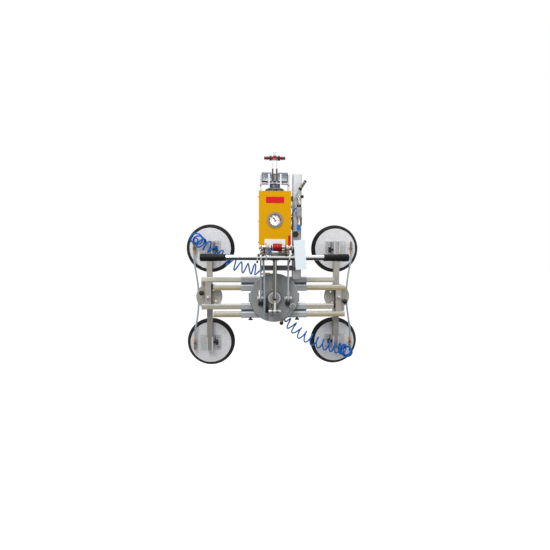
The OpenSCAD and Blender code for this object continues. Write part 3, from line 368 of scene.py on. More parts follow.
CHANNEL = finish("channel_pale_zinc", (236, 240, 245), 0.4, rubbed=(244, 247, 250), under_shade_and_dirt=0.12,
    shade_and_dirt=(110, 116, 122), drawn=((260.0, 260.0, 6.0), 0.03), bump=0.04, zones=[
        zone((44, 46, 50), z=(-0.1555, -0.1425), y=(0.012, 0.0205)),  # painted shadow inside the lower fold
        zone((84, 92, 100), wide=(0.068, 0.0715), y=(0.012, 0.0205))])
DARK = finish("crossbar_dark_paint", (88, 91, 95), 0.45, rubbed=(140, 141, 142), patches=0.2, bump=0.12)
CHEEKS = finish("cheek_bronze_and_red", (76, 69, 63), 0.42, 0.3, rubbed=(168, 160, 150), patches=0.3,
    patch=60.0, zones=[
        zone((52, 50, 50), z=(-0.05, 0.0)), zone((128, 10, 12), wide=(0.031, 0.0465), z=(-0.06, 0.0))])
EYE = finish("eye_plated", (206, 208, 210), 0.28, 0.65, rubbed=(240, 240, 240), patches=0.12,
    zones=[zone((150, 28, 26), wide=(-1.0, 0.0155), z=(-0.034, -0.0165))])
TANK = finish("housing_anthracite", (54, 61, 73), 0.36, rubbed=(96, 104, 116), patches=0.14, rub=0.3,
    bump=0.1, Specular_IOR_Level=0.6, zones=[zone((24, 25, 28), z=(-0.174, -0.166))])
BOLTS = finish("bolt_bright_zinc", (196, 198, 200), 0.3, 0.7, rubbed=(240, 240, 240), patches=0.3,
    patch=90.0, under_shade_and_dirt=0.3, bump=0.08)
STEEL = finish("turned_steel", (150, 150, 150), 0.33, 0.7, rubbed=(220, 220, 218), patches=0.35, patch=40.0,
    under_shade_and_dirt=0.3, bump=0.1, drawn=((420.0, 30.0, 420.0), 0.2))
BRACKETS = finish("clevis_steel", (176, 177, 176), 0.3, 0.8, rubbed=(230, 230, 228), patches=0.35,
    patch=40.0, rub=0.9, under_shade_and_dirt=0.35, bump=0.12)
HUB = finish("hub_steel_and_fitting", (176, 176, 173), 0.3, 0.85, rubbed=(214, 214, 210), patches=0.35,
    patch=40.0, under_shade_and_dirt=0.35, bump=0.12, zones=[
        # hose fitting, inside of the hub, lock body, its foot, ring round the hub, bearing's face
        zone((36, 37, 40), x=(-0.056, -0.03), z=(-0.87, -0.82), y=(-0.01, 0.0205)),
        zone((88, 84, 78), wide=(-0.001, 0.0295), y=(-0.002, 0.0175), z=(-0.8115, -0.7525)),
        zone((214, 215, 214), x=(0.078, 0.13), y=(-0.002, 0.016)),
        zone((92, 95, 99), x=(0.078, 0.13), y=(0.016, 0.0235)),
        zone((98, 101, 104), wide=(-0.001, 0.0425), y=(0.0175, 0.0235)),
        zone((96, 98, 100), wide=(-0.001, 0.022), y=(0.004, 0.0056))])
TUBE = finish("polished_tube", (214, 215, 216), 0.13, 1.0, rubbed=(235, 235, 235), patches=0.05, rub=0.2,
    under_shade_and_dirt=0.1, bump=0.01, drawn=((5.0, 300.0, 300.0), 0.04), zones=[   # painted reflections: grey, dark and mid-grey bands along the lower side
        zone((150, 153, 156), z=(-0.5639, -0.5585)), zone((48, 50, 52), z=(-0.5685, -0.5639)),
        zone((110, 111, 113), z=(-0.58, -0.5685))])
STRUT = finish("strut_tube_steel", (164, 163, 160), 0.13, 1.0, rub=0.3, under_shade_and_dirt=0.2,
    bump=0.04, drawn=((300.0, 300.0, 6.0), 0.12), zones=[
        # painted reflections as dark streaks down the tube; then the inner rod, the bronze and dark bands
        # of its collar
        zone((112, 109, 104), x=(-0.012, -0.0045)), zone((62, 62, 64), x=(-0.0045, -0.0008)),
        zone((96, 96, 96), x=(0.007, 0.012)),
        zone((212, 211, 206), z=(-0.86, -0.802), x=(-0.0045, 0.005)),
        zone((178, 166, 142), z=(-0.802, -0.790)), zone((40, 38, 36), z=(-0.788, -0.778))])
NICKEL = finish("valve_nickel", (164, 158, 146), 0.26, 0.8, rubbed=(232, 226, 212), patches=0.4, patch=45.0,
    under_shade_and_dirt=0.45, shade_and_dirt=(70, 60, 46), bump=0.08, zones=[   # a streak of light, two of shade
        zone((252, 252, 250), z=(-0.5005, -0.4935)), zone((66, 60, 53), z=(-0.5205, -0.5125)),
        zone((74, 68, 60), z=(-0.536, -0.532))])
CHROME = finish("body_chrome", (178, 174, 166), 0.2, 0.85, patches=0.3, patch=60.0, under_shade_and_dirt=0.25, bump=0.04)
BRONZE = finish("bronze_fitting", (112, 99, 82), 0.34, 0.7, rubbed=(190, 172, 144), patches=0.4, patch=60.0,
    under_shade_and_dirt=0.4, shade_and_dirt=(56, 46, 34), bump=0.12)
BRASS = finish("brass_fitting", (178, 128, 78), 0.3, 0.8, rubbed=(228, 190, 130), patches=0.3, patch=60.0,
    under_shade_and_dirt=0.35, shade_and_dirt=(80, 50, 28), bump=0.08)
FERRULE = finish("ferrule_yellow_brass", (206, 160, 96), 0.3, 0.7, rubbed=(236, 204, 150), patches=0.25,
    patch=70.0, under_shade_and_dirt=0.3, shade_and_dirt=(90, 60, 30), bump=0.06)
BLOCK = finish("valve_block_grey", (146, 150, 153), 0.36, 0.4, rubbed=(190, 192, 194), bump=0.08,
    drawn=((260.0, 260.0, 5.0), 0.12), zones=[zone((92, 103, 110), z=(-0.5465, -0.53))])
BLACK = finish("black_moulding", (24, 24, 26), 0.42, rubbed=(70, 70, 72), patches=0.2, under_shade_and_dirt=0.1,
    shade_and_dirt=(70, 68, 64), bump=0.14)
LEVER = finish("lever_rod_and_ball", (128, 129, 129), 0.34, 0.5, rubbed=(200, 200, 198), patches=0.3,
    patch=50.0, under_shade_and_dirt=0.25, bump=0.08, zones=[zone((26, 26, 28), z=(-1.0, -0.9075))])
GRIP = finish("grip_rubber_black", (9, 9, 11), 0.42, rubbed=(40, 40, 42), patches=0.2, under_shade_and_dirt=0.12,
    shade_and_dirt=(80, 78, 74), bump=0.25, Specular_IOR_Level=0.16)
LIP = finish("lip_rubber_black", (14, 15, 16), 0.6, rubbed=(58, 58, 58), patches=0.3, patch=20.0, rub=0.5,
    under_shade_and_dirt=0.2, shade_and_dirt=(64, 62, 60), bump=0.22, Specular_IOR_Level=0.12)
BLUE = finish("hose_blue", (0, 96, 182), 0.3, rubbed=(20, 120, 205), patches=0.12, rub=0.1, under_shade_and_dirt=0.1,
    shade_and_dirt=(10, 40, 96), bump=0.04, Specular_IOR_Level=0.1)
BLUE_SLEEVE = finish("sleeve_blue", (20, 109, 188), 0.36, patches=0.1, rub=0.3, under_shade_and_dirt=0.08, bump=0.08)
CLEAR = finish("hose_clear", (176, 188, 196), 0.2, patches=0.1, rub=0.1, under_shade_and_dirt=0.1, bump=0.03,
    shade_and_dirt=(120, 126, 130), Transmission_Weight=0.35, IOR=1.4)
DARK_HOSE = finish("hose_dark", (62, 70, 80), 0.3, patches=0.2, rub=0.1, under_shade_and_dirt=0.1, bump=0.05)
RED_SLEEVE = finish("sleeve_red_anodised", (150, 20, 18), 0.24, 0.45, rubbed=(214, 96, 84), patches=0.2,
    patch=60.0, under_shade_and_dirt=0.4, shade_and_dirt=(70, 14, 14), bump=0.06)
RED_PAINT = finish("lever_red_enamel", (198, 8, 8), 0.3, rubbed=(220, 90, 76), patches=0.1, under_shade_and_dirt=0.1,
    bump=0.05, Specular_IOR_Level=0.2)
RED_PLATE = finish("plate_red_print", (208, 10, 20), 0.4, rubbed=(232, 80, 84), patches=0.08, rub=0.25,
    under_shade_and_dirt=0.06, bump=0.03)
WHITE_PLATE = finish("plate_white_sheet", (238, 238, 236), 0.4, rubbed=(246, 246, 246), patches=0.06,
    rub=0.1, under_shade_and_dirt=0.1, shade_and_dirt=(170, 168, 160), bump=0.03)
DATA_PLATE = finish("plate_pale_sheet", (228, 238, 243), 0.34, rubbed=(244, 248, 250), patches=0.08,
    patch=6.0, rub=0.2, under_shade_and_dirt=0.12, shade_and_dirt=(160, 172, 180), bump=0.03)
PAD = finish("pad_cast_plate", (218, 218, 221), 0.42, 0.25, rubbed=(228, 228, 230), patches=0.12,
    patch=10.0, rub=0.5, under_shade_and_dirt=0.12, shade_and_dirt=(140, 140, 142), spangle=(230.0, 0.2), bump=0.2,
    zones=[
        zone((190, 191, 193), y=(0.0, 0.1395)),                        # bracket
        zone((128, 116, 98), wide=(0.448, 0.464), y=(0.1, 0.126))])    # hose fitting
BEZEL = finish("bezel_steel", (150, 142, 126), 0.3, 0.7, rubbed=(214, 208, 196), patches=0.3, patch=40.0,
    under_shade_and_dirt=0.3, shade_and_dirt=(60, 54, 44), bump=0.06)
# weld grey, also used for thin dark rings painted as shadows round bolt washers and pivot caps
WELD_AND_SHADOW_RINGS = finish("weld_bead", (96, 97, 98), 0.5, 0.3, patches=0.4, patch=90.0, under_shade_and_dirt=0.2, bump=0.3)


def dial_face():
    """White dial: ticks where the angle is near a whole step and the radius near the rim, and a red arc.

    Small and large ticks are (step, half a tick's share of a step, inner radius, outer radius). Then come a
    ring of shade that is wider at the top, the red arc and a red mark below the pivot."""
    made, tree, principled = new_material("dial_white_and_marks")
    lift = (0.0, 0.0, (EYE_HEIGHT - DIAL_Z) / 1000)
    moved = put(tree, "Mapping", {0: own_place(tree), "Location": lift}).outputs[0]
    x, _, z = along_axes(tree, moved)
    radius = calc(tree, "SQRT", calc(tree, "ADD", times(tree, x, x), times(tree, z, z)))
    angle = calc(tree, "ARCTAN2", x, z)
    soft = noise(tree, moved, 40.0, 3.0)
    sweep = within(tree, angle, -2.36, 2.36)
    marks = [(times(tree, soft, 0.25), (214, 214, 206))]
    for step, width, low, high in ((0.1571, 0.16, 0.0225, 0.0255), (0.7854, 0.1, 0.0150, 0.0200)):
        phase = calc(tree, "FRACT", calc(tree, "ADD", calc(tree, "DIVIDE", angle, step), 0.5))
        near = within(tree, phase, 0.5 - width, 0.5 + width)
        marks.append((times(tree, near, within(tree, radius, low, high), sweep), (40, 40, 44)))
    shade = times(tree, calc(tree, "COSINE", angle), 0.0022)
    low_half = within(tree, calc(tree, "ABSOLUTE", angle), 2.0, 3.2)
    marks += [
        (calc(tree, "GREATER_THAN", calc(tree, "ADD", radius, shade), 0.0268), (92, 86, 78)),
        (times(tree, within(tree, radius, 0.0222, 0.0258), within(tree, angle, -0.25, 2.1)), (206, 74, 62)),
        (times(tree, within(tree, radius, 0.004, 0.0095), low_half), (214, 84, 58))]
    colour = shown(242, 242, 238)
    for mask, paint in marks:
        colour = blend_colour(tree, mask, colour, shown(*paint))
    feed(tree, principled, {"Base Color": colour,
                            "Roughness": ranged(tree, soft, to_low=0.35, to_high=0.55)})
    return made


def clear_glass():
    """Window glass over the dial, with a faint haze in its roughness."""
    made, tree, principled = new_material("dial_glass")
    haze = noise(tree, own_place(tree), 60.0, 3.0)
    feed(tree, principled, {
        "Roughness": ranged(tree, haze, to_high=0.06), "Transmission Weight": 1.0, "IOR": 1.12,
        "Base Color": blend_colour(tree, haze, (0.97, 0.985, 0.99, 1), (1, 1, 1, 1))})
    return made


DIAL, GLASS = dial_face(), clear_glass()

CAD_FINISHES = {
    PALE_ZINC: "side_plates", CHANNEL: "top_channel", DARK: "crossbar", MAST: "mast", EYE: "lifting_eye",
    CHEEKS: "eye_cheeks", TANK: "tank_housing", YELLOW: "box_cover", BOLTS: "frame_bolts",
    BEZEL: "gauge_case", GLASS: "gauge_glass", TUBE: "handlebar", NICKEL: "valve_block",
    RED_PAINT: "ball_lever", BLUE_SLEEVE: "shutoff_sleeve", STRUT: "strut_tube strut_rod",
    DISC: "tilt_disc rotor_plate", BRACKETS: "tilt_brackets", HUB: "tilt_fittings",
    STEEL: "lock_plunger", SLEEVE: "rail_sleeves",
    BRASS: "rotor_fittings", RAIL_ZINC: "left_rails right_rails", POST_ZINC: "left_post right_post",
    ARM_ZINC: "left_arm right_arm", PAD: "pad_plate_tl pad_plate_tr pad_plate_bl pad_plate_br",
    LEVER: "lock_lever", BLACK: "gauge_needle mast_knob inlet_knob thumb_screw_left thumb_screw_right "
    "left_index_pin right_index_pin pad_knob_tl pad_knob_tr pad_knob_bl pad_knob_br"}
for coat, names in CAD_FINISHES.items():
    for name in names.split():
        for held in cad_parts[name].material_slots:
            held.material = coat


# Surfaces: a shape is rings of points, or a profile carried along a path, all as whole arrays

def skin(rings, loop=False):
    """Faces over rings of points: face (i, j) joins points j and j + 1 of ring i to those of ring i + 1.

    The end rings close on a fan to their own middle; a loop joins the last ring to the first instead.
    Faces are turned over if the volume under them comes out negative. Returns points, faces, corner uv."""
    rings = np.asarray(rings, float)
    m, n = rings.shape[:2]
    i, j = (a.ravel() for a in np.meshgrid(np.arange(m if loop else m - 1), np.arange(n), indexing="ij"))
    k, l = (i + 1) % m, (j + 1) % n
    quads = np.stack([i * n + j, i * n + l, k * n + l, k * n + j], 1)
    corners = ((i, j), (i, j + 1), (i + 1, j + 1), (i + 1, j))
    spots = np.stack([np.stack(corner, 1) for corner in corners], 1) / (m, n)
    points = rings.reshape(-1, 3)
    fans, fan_spots = np.zeros((0, 3), int), np.zeros((0, 3, 2))
    if not loop:
        r, s = np.arange(n), (np.arange(n) + 1) % n
        fans = np.concatenate([np.stack([0 * r + m * n, s, r], 1),
                               np.stack([0 * r + m * n + 1, (m - 1) * n + r, (m - 1) * n + s], 1)])
        points = np.concatenate([points, rings[0].mean(0)[None], rings[-1].mean(0)[None]])
        fan_spots = np.tile(np.array([[0.5, 0.5], [0.0, 0.0], [1.0, 0.0]]), (2 * n, 1, 1))
    tri = np.concatenate([quads[:, :3], quads[:, [0, 2, 3]], fans])
    a, b, c = (points[tri[:, side]] for side in range(3))
    if (a * np.cross(b, c)).sum() < 0:
        quads, spots, fans, fan_spots = quads[:, ::-1], spots[:, ::-1], fans[:, ::-1], fan_spots[:, ::-1]
    corner_uv = np.concatenate([spots.reshape(-1, 2), fan_spots.reshape(-1, 2)])
    return points, quads.tolist() + fans.tolist(), corner_uv


def piece(name, skins, body=None, stands_for=(), crease=38.0):
    """One mesh from (skin, material) pairs, smooth but for edges sharper than the crease angle."""
    mesh = bpy.data.meshes.new(name)
    coats = list(dict.fromkeys(coat for _, coat in skins))
    points, faces, spots, marks, start = [], [], [], [], 0
    for (own, own_faces, own_spots), coat in skins:
        points.append(own)
        faces += [[start + corner for corner in face] for face in own_faces]
        spots.append(own_spots)
        marks += [coats.index(coat)] * len(own_faces)
        start += len(own)
    mesh.from_pydata(metres(np.concatenate(points)).tolist(), [], faces)
    mesh.uv_layers.new(name="along_and_round").data.foreach_set("uv", np.concatenate(spots).ravel())
    for coat in coats:
        mesh.materials.append(coat)
    mesh.polygons.foreach_set("material_index", marks)
    mesh.shade_smooth()
    mesh.set_sharp_from_angle(angle=math.radians(crease))
    mesh.update()
    made = added(name, mesh)
    if body:
        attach(made, body)
    if stands_for:
        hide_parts(*stands_for)
    return made


def softened(profile, by):
    """Each inner corner of a profile becomes two points, each `by` away from it along its edge."""
    p = np.asarray(profile, float)
    back, on = p[:-2] - p[1:-1], p[2:] - p[1:-1]
    cuts = [p[1:-1] + unit(edge) * np.minimum(by, 0.45 * np.linalg.norm(edge, axis=1))[:, None]
            for edge in (back, on)]
    return np.concatenate([p[:1], np.stack(cuts, 1).reshape(-1, 2), p[-1:]])


def wheel(steps, turn=0.0):
    """Angles in equal steps once round."""
    return np.arange(steps) * 2 * np.pi / steps + turn


def turned(origin, axis, profile, steps=36, soft=0.6, loop=False):
    """A profile of (radius, distance) round an axis: origin + distance axis + radius (cos a, sin a)."""
    axis = unit(np.asarray(axis, float))
    side = unit(np.cross(UP if abs(axis[2]) < 0.9 else RIGHT, axis))
    p = np.asarray(profile, float) if loop or not soft else softened(profile, soft)
    a = wheel(steps)
    spoke = np.cos(a)[:, None] * side + np.sin(a)[:, None] * np.cross(axis, side)
    reach, radius = p[:, 1, None, None], p[:, 0, None, None]
    return skin(np.asarray(origin, float) + reach * axis + radius * spoke[None], loop)


def spun(coat, origin, axis, profile, steps=28, soft=0.0, loop=False):
    """A turned part with its material, its corners sharp."""
    return turned(origin, axis, profile, steps, soft, loop), coat


def barrel(neck, radius, length, start=0, chamfer=1):
    """Profile of a plain round length with both ends chamfered down to the neck."""
    stop = start + length
    return [(neck, start), (radius, start + chamfer), (radius, stop - chamfer), (neck, stop)]


def hex_rod(coat, x, y, low, high, r):
    return spun(coat, (x, y, 0), UP, barrel(r * 0.88, r, high - low, low), 6)


def tube(path, radius, sides=12, spoke=(0.0, 1.0, 0.0), ahead=None):
    """A round tube: ring i = path(i) + radius(i) (cos a u + sin a v), u square to the path."""
    path = np.asarray(path, float)
    ahead = unit(np.gradient(path, axis=0)) if ahead is None else ahead
    u = np.broadcast_to(np.asarray(spoke, float), path.shape)
    u = unit(u - (u * ahead).sum(1, keepdims=True) * ahead)
    a = wheel(sides)
    ring = np.cos(a)[None, :, None] * u[:, None] + np.sin(a)[None, :, None] * np.cross(ahead, u)[:, None]
    return skin(path[:, None] + np.broadcast_to(radius, len(path))[:, None, None] * ring)


def slab(middle, across, up, half_across, half_up, corner, thick, edge=0.6, bow=0.0):
    """A plate with round corners: the outline is carried through its thickness and drawn in at both faces.

    Outline = corner centres + corner radius (cos a, sin a); bow pushes it out by 1 - (across / half)^2."""
    across, up = unit(np.asarray(across, float)), unit(np.asarray(up, float))
    out = np.cross(across, up)
    quarter = np.repeat(np.arange(4), 6)
    a = (quarter + np.tile(np.linspace(0, 1, 6), 4)) * np.pi / 2
    signs = np.array([[1, 1], [-1, 1], [-1, -1], [1, -1]])[quarter]
    levels = np.array([[0.0, edge], [edge, 0.0], [thick - edge, 0.0], [thick, edge]])
    shrink = corner - levels[:, 1, None]
    u = signs[None, :, 0] * (half_across - corner) + shrink * np.cos(a)
    v = signs[None, :, 1] * (half_up - corner) + shrink * np.sin(a)
    height = levels[:, 0, None] + bow * (1 - (u / half_across) ** 2)
    face = np.asarray(middle, float) + u[..., None] * across + v[..., None] * up
    return skin(face + height[..., None] * out)


def flat(coat, middle, *sizes):
    """A slab that faces the operator, with its material."""
    return slab(middle, RIGHT, UP, *sizes), coat


def spot_on(route, share):
    """A smooth curve through a route: Catmull-Rom, at places from 0 to the number of the last point."""
    p = np.asarray(route, float)
    last = len(p) - 1
    t = np.clip(np.asarray(share, float), 0, last)
    i = np.minimum(t.astype(int), last - 1)
    f = (t - i)[:, None]
    a, b, c, d = p[np.maximum(i - 1, 0)], p[i], p[i + 1], p[np.minimum(i + 2, last)]
    square, cube = 2 * a - 5 * b + 4 * c - d, 3 * b - a - 3 * c + d
    return 0.5 * (2 * b + (c - a) * f + square * f ** 2 + cube * f ** 3)


def smooth(route, per=10):
    """Points of the smooth curve, `per` to each stretch of the route."""
    last = len(route) - 1
    return spot_on(route, np.linspace(0, last, last * per + 1))


def ramp(x):
    """Smooth step from 0 to 1: x^2 (3 - 2x)."""
    x = np.clip(x, 0, 1)
    return x * x * (3 - 2 * x)


def cord_piece(name, shell, coat, stands_for, body=None, bend=None):
    """A hose from fitting to fitting, or a stretch of one, on a body if one is given; a bend bakes in its
    place.
    """
    made = piece(name, [(shell, coat)], body, [stands_for], crease=60.0)
    if bend:
        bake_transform(made)


# Curly hoses. Routes as (across, depth in front of the pane, height above the hub)

ROUTE_LEFT = [[-456, 50, 326], [-434, 74, 328], [-408, 106, 304], [-366, 114, 284], [-318, 112, 250],
              [-270, 112, 216], [-215, 115, 180], [-155, 114, 162], [-100, 112, 156], [-62, 106, 130]]
ROUTE_RIGHT = [[456, 50, -329], [434, 74, -330], [408, 106, -308], [366, 114, -296], [315, 112, -284],
               [260, 112, -266], [205, 115, -240], [150, 114, -208], [104, 111, -164], [62, 106, -130]]
CURL_RADIUS, CURL_STEPS = 29.0, 24
SETTLING = 3.5             # curls over which the curl's axis turns into the route
CUTS = (2.4, 5.6)          # places on the route between the three stretches
STRETCH_INSET = 5.0        # x of a stretch's begin point lies this far inside its end
ROTOR_EDGE = 122.0         # x of the last stretch's end point, at the rotor


def curls(route, count, start, finish_at):
    """Path and spokes of a curly hose.

    Point i = c(s) + r (cos a u + sin a v): c runs along the route, a turns once every CURL_STEPS points,
    r grows from 0 over the first curl and back over the last, and u, v are square to an axis that turns
    from straight out of the pane into the route's own direction over the first SETTLING curls."""
    line = np.array(route, float)
    line[:, 1] = PANE - line[:, 1]
    n = count * CURL_STEPS
    i, last = np.arange(n + 1), len(route) - 1
    s = last * i / n
    ahead = unit(spot_on(line, np.minimum(s + 0.05, last)) - spot_on(line, np.maximum(s - 0.05, 0)))
    w = ramp(i / (SETTLING * CURL_STEPS))[:, None]
    axis = unit(ahead * w + np.array([0.0, -1.0, 0.0]) * (1 - w))
    u = unit(np.cross(axis, [0.0, 0.0, 1.0]))
    r = (CURL_RADIUS * ramp(np.minimum(i, n - i) / CURL_STEPS))[:, None]
    a = (2 * np.pi * i / CURL_STEPS)[:, None]
    spoke = np.cos(a) * u + np.sin(a) * np.cross(u, axis)
    ends = np.array([[x, PANE - depth, z] for x, depth, z in (start, finish_at)])
    path = np.concatenate([ends[:1], spot_on(line, s) + r * spoke, ends[1:]])
    spokes = np.concatenate([spoke[:1], spoke, spoke[-1:]])
    return path, spokes, np.concatenate([[0.0], s, [float(last)]])


def lay_curly_hose(name, node, route, count, start, finish_at, bodies):
    """Three stretches of one curly hose, cut at the places in CUTS."""
    path, spokes, s = curls(route, count, start, finish_at)
    ahead = unit(np.gradient(path, axis=0))
    marks = [0] + [int(np.argmin(np.abs(s - cut))) for cut in CUTS] + [len(path) - 1]
    out = 1.0 if path[-1, 0] > path[0, 0] else -1.0
    for k, (first, last) in enumerate(zip(marks, marks[1:])):
        run = slice(first, last + 1)
        begin = [path[first, 0] + out * STRETCH_INSET, 0.0, 0.0]
        end = [path[last, 0] - out * STRETCH_INSET if k < 2 else -out * ROTOR_EDGE, 0.0, 0.0]
        cord_piece(f"{name}_{k + 1}", tube(path[run], 4.0, 12, spokes[run], ahead[run]), BLUE,
                   node, bend=(bodies[k], bodies[k + 1], begin, end))


lay_curly_hose("curly_hose_left", "coil_left", ROUTE_LEFT, 13, (-456, 50, 317), (-54, 106, 130),
               ("pad_tl", "left_swing", "left_carriage", "rotor"))
lay_curly_hose("curly_hose_right", "coil_right", ROUTE_RIGHT, 14, (456, 50, -317), (54, 106, -130),
               ("pad_br", "right_swing", "right_carriage", "rotor"))

# Clear hoses along the arms, from the upper pad's fitting to the lower one's. The bulge is toward the arm
BULGE = np.array([0, 2, 10, 17, 22, 24, 23, 20, 14, 7, 1, 0], float)
HOSE_HALF, BEND_FROM, BEND_TO = 246.5, 200.0, 60.0


def lay_arm_hose(name, node, side, pads, swing):
    """Two halves of a hose, x = fitting - bulge(k), z in equal steps."""
    k = np.arange(len(BULGE))
    height = side * HOSE_HALF * (1 - 2 * k / k[-1])
    path = smooth(np.stack([side * (FITTING_X - BULGE), FITTING_Y + 0 * k, height], 1))
    path = path if path[0, 2] > 0 else path[::-1]
    half = len(path) // 2
    halves = ("upper", path[:half + 1], 1.0), ("lower", path[half:][::-1], -1.0)
    for (label, run, way), pad in zip(halves, pads):
        cord_piece(f"{name}_{label}", tube(run, 5.0, 14), CLEAR, node,
                   bend=(pad, swing, [0.0, 0.0, way * BEND_FROM], [0.0, 0.0, way * BEND_TO]))


lay_arm_hose("arm_hose_left", "pad_hose_left", -1.0, ("pad_tl", "pad_bl"), "left_swing")
lay_arm_hose("arm_hose_right", "pad_hose_right", 1.0, ("pad_tr", "pad_br"), "right_swing")

# The hose from the valve line down to the hub, and those of the inlet column, as (x, y, z)
hub_run = smooth([[-61, -37, 239.5], [-61, -37, 200], [-58, -37, 150], [-56, -36, 100], [-55, -34, 50],
                  [-55, -30, 0], [-55, -23, -40], [-55, -14, -75], [-54, -6, -95], [-50, 0, -108],
                  [-45, 6, -104], [-43, 8, -92], [-43, 8, -80.5]], 8)
cord_piece("hub_hose", tube(hub_run, 5.5, 16, (1.0, 0.0, 0.0)), CLEAR,
           "main_hose", bend=("hanger", "tilt_head", [0.0, 0.0, 120.0], [0.0, 0.0, -40.0]))
for name, route, r, coat, slot in (
        ("inlet_hose_clear", [[91.3, -34, 486], [94, -36, 500], [99, -40, 515], [106, -44, 532],
                              [112, -45.5, 553], [122, -45.5, 571], [132.7, -45.5, 585.4]],
         5.5, CLEAR, "clear_hose"),
        ("inlet_hose_blue", [[88.8, -34, 446], [94, -38, 458], [101, -44, 472], [106, -45.5, 483],
                             [112.6, -45.5, 484]], 3.0, BLUE, "blue_hose"),
        ("inlet_hose_dark", [[90.8, -32, 372], [93, -34, 392], [95, -34, 410], [93, -33, 428],
                             [90.8, -32, 440]], 5.0, DARK_HOSE, "black_plastic")):
    run = smooth(route, 8)
    cord_piece(name, tube(run, r, 14, (0.0, 1.0, 0.2)), coat, "inlet_hoses",
               body="hanger")


# Suction pads: lips, bracket bolts and ferrules

LIP_PROFILE = [(106, 16), (106, 22), (118.0, 22), (118.3, 26.4), (119.4, 27.4), (125, 27.2), (126.2, 25.6),
               (127.2, 23.4), (129.0, 20.8), (130.6, 17.4), (132.0, 16.8), (133.8, 13.4), (134.8, 11.4),
               (136.2, 10.8), (138.8, 7), (140, 5), (140, 2.6), (139.6, 1.0), (138.4, 0.1), (136, 0),
               (134, 0.4), (129, 5.2), (124, 10), (118, 12.4), (112, 14)]
FERRULE_PROFILE = [(6.2, 0), (7.6, 1), (7.6, 9), (6.8, 10), (6.8, 15), (7.4, 16), (7.4, 19), (6.3, 20)]
SCREW_ROW = (34, 9, -4, -17, -36)


def hex_bolt(x, y, z, across, tall):
    """A hexagon head with its top edge cut, a round washer, and a thin dark ring for its shadow."""
    place = (x, y, z)
    return [spun(WELD_AND_SHADOW_RINGS, place, FRONT, [(across * 1.6, 0), (across * 1.6, 0.5)], 20),
            spun(BOLTS, place, FRONT, [(across * 1.25, 0), (across * 1.25, 1.2)], 20),
            spun(BOLTS, place, FRONT, [(across, 1.2), (across, tall * 0.8), (across * 0.86, tall)], 6)]


for q in ("tl", "tr", "bl", "br"):
    body = "pad_" + q
    top, out = (1.0 if q[0] == "t" else -1.0), (1.0 if q[1] == "r" else -1.0)
    x, z = out * PAD_X, top * PAD_Z
    lip = turned((x, PANE, z), FRONT, LIP_PROFILE, 96, loop=True)
    piece("lip_" + q, [(lip, LIP)], body, ["pad_lip_" + q], crease=28.0)
    heads = [part for dz in (31, -31) for part in hex_bolt(x - out * 43, BRACKET_FACE, z + dz, 4.6, 4.5)]
    for dz in SCREW_ROW:
        screw = x + out * 23
        heads += [spun(BOLTS, (screw, BRACKET_FACE, z + dz), FRONT, [(4.4, 0), (4.4, 0.8), (3.4, 1.0)], 20),
                  spun(DARK, (screw, 136.9, z + dz), FRONT, [(3.1, 0), (3.1, 1.4), (2.4, 2.2)], 6)]
    heads += [flat(DARK, (x - out * 27.5, BRACKET_FACE, z + 24), 1.6, 15, 1, 9)]
    piece("bracket_bolts_" + q, heads, body)
    mouth, way = top * FITTING_Z, (0, 0, top)
    piece("ferrule_" + q, [
        spun(FERRULE, (out * FITTING_X, FITTING_Y, mouth), way, FERRULE_PROFILE),
        spun(BRONZE, (out * FITTING_X, FITTING_Y, mouth + top * 24), way, barrel(7, 8.2, 10), 6)],
        body)


# Plates on the box and beside it

piece("red_plate", [flat(RED_PLATE, (0, BOX_FACE, 526.5), 48, 16.5, 2.0, 1.0, 0.3)], "hanger")
piece("white_plate", [flat(WHITE_PLATE, (0, BOX_FACE, 299.5), 55, 21.5, 2.0, 1.0, 0.3)],
      "hanger")
DATA_LEAN = math.radians(4.5)
leaning = (math.cos(DATA_LEAN), 0.0, math.sin(DATA_LEAN)), (-math.sin(DATA_LEAN), 0.0, math.cos(DATA_LEAN))
piece("data_plate", [(slab((130, -89.5, 238), *leaning, 29, 77, 2.5, 1.4, 0.4, 0.5), DATA_PLATE),
                     flat(STEEL, (130, -88.9, 290), 12, 9, 2, 1.2, 0.4)],
      "hanger", ["blank_plates"])


# Handlebar's grips and the valve line in front of it

def round_the_x_axis(x, r, a, z):
    """Rings of radius r(x, a) round a line along x at the handlebar's depth and the height z."""
    along = np.broadcast_to(x[:, None], r.shape)
    return skin(np.stack([along, BAR_Y + r * np.cos(a), z + r * np.sin(a)], -1))


def grip(side):
    """Radius = base(x) - 0.55 |sin(14 a)| flutes between the end collars; base swells to the outer end."""
    x = np.concatenate([np.linspace(257, 262, 5), np.linspace(263, 382, 48), np.linspace(383, 390, 7)])
    a = wheel(84)
    base = 17.9 + 2.3 * ramp((x - 262) / 120) - 0.5 * np.cos((x - 262) * 2 * np.pi / 29.75)
    base = np.where(x < 263, 18.0 + 1.2 * np.sin((x - 257) / 6 * np.pi), base)
    base = np.where(x > 382.5, 20.5 - 3.5 * ((x - 382.5) / 7.5) ** 2, base)
    flutes = 0.55 * np.abs(np.sin(14 * a))[None] * ((x > 264) & (x < 381))[:, None]
    return round_the_x_axis(side * x, base[:, None] - flutes, a, BAR_Z)


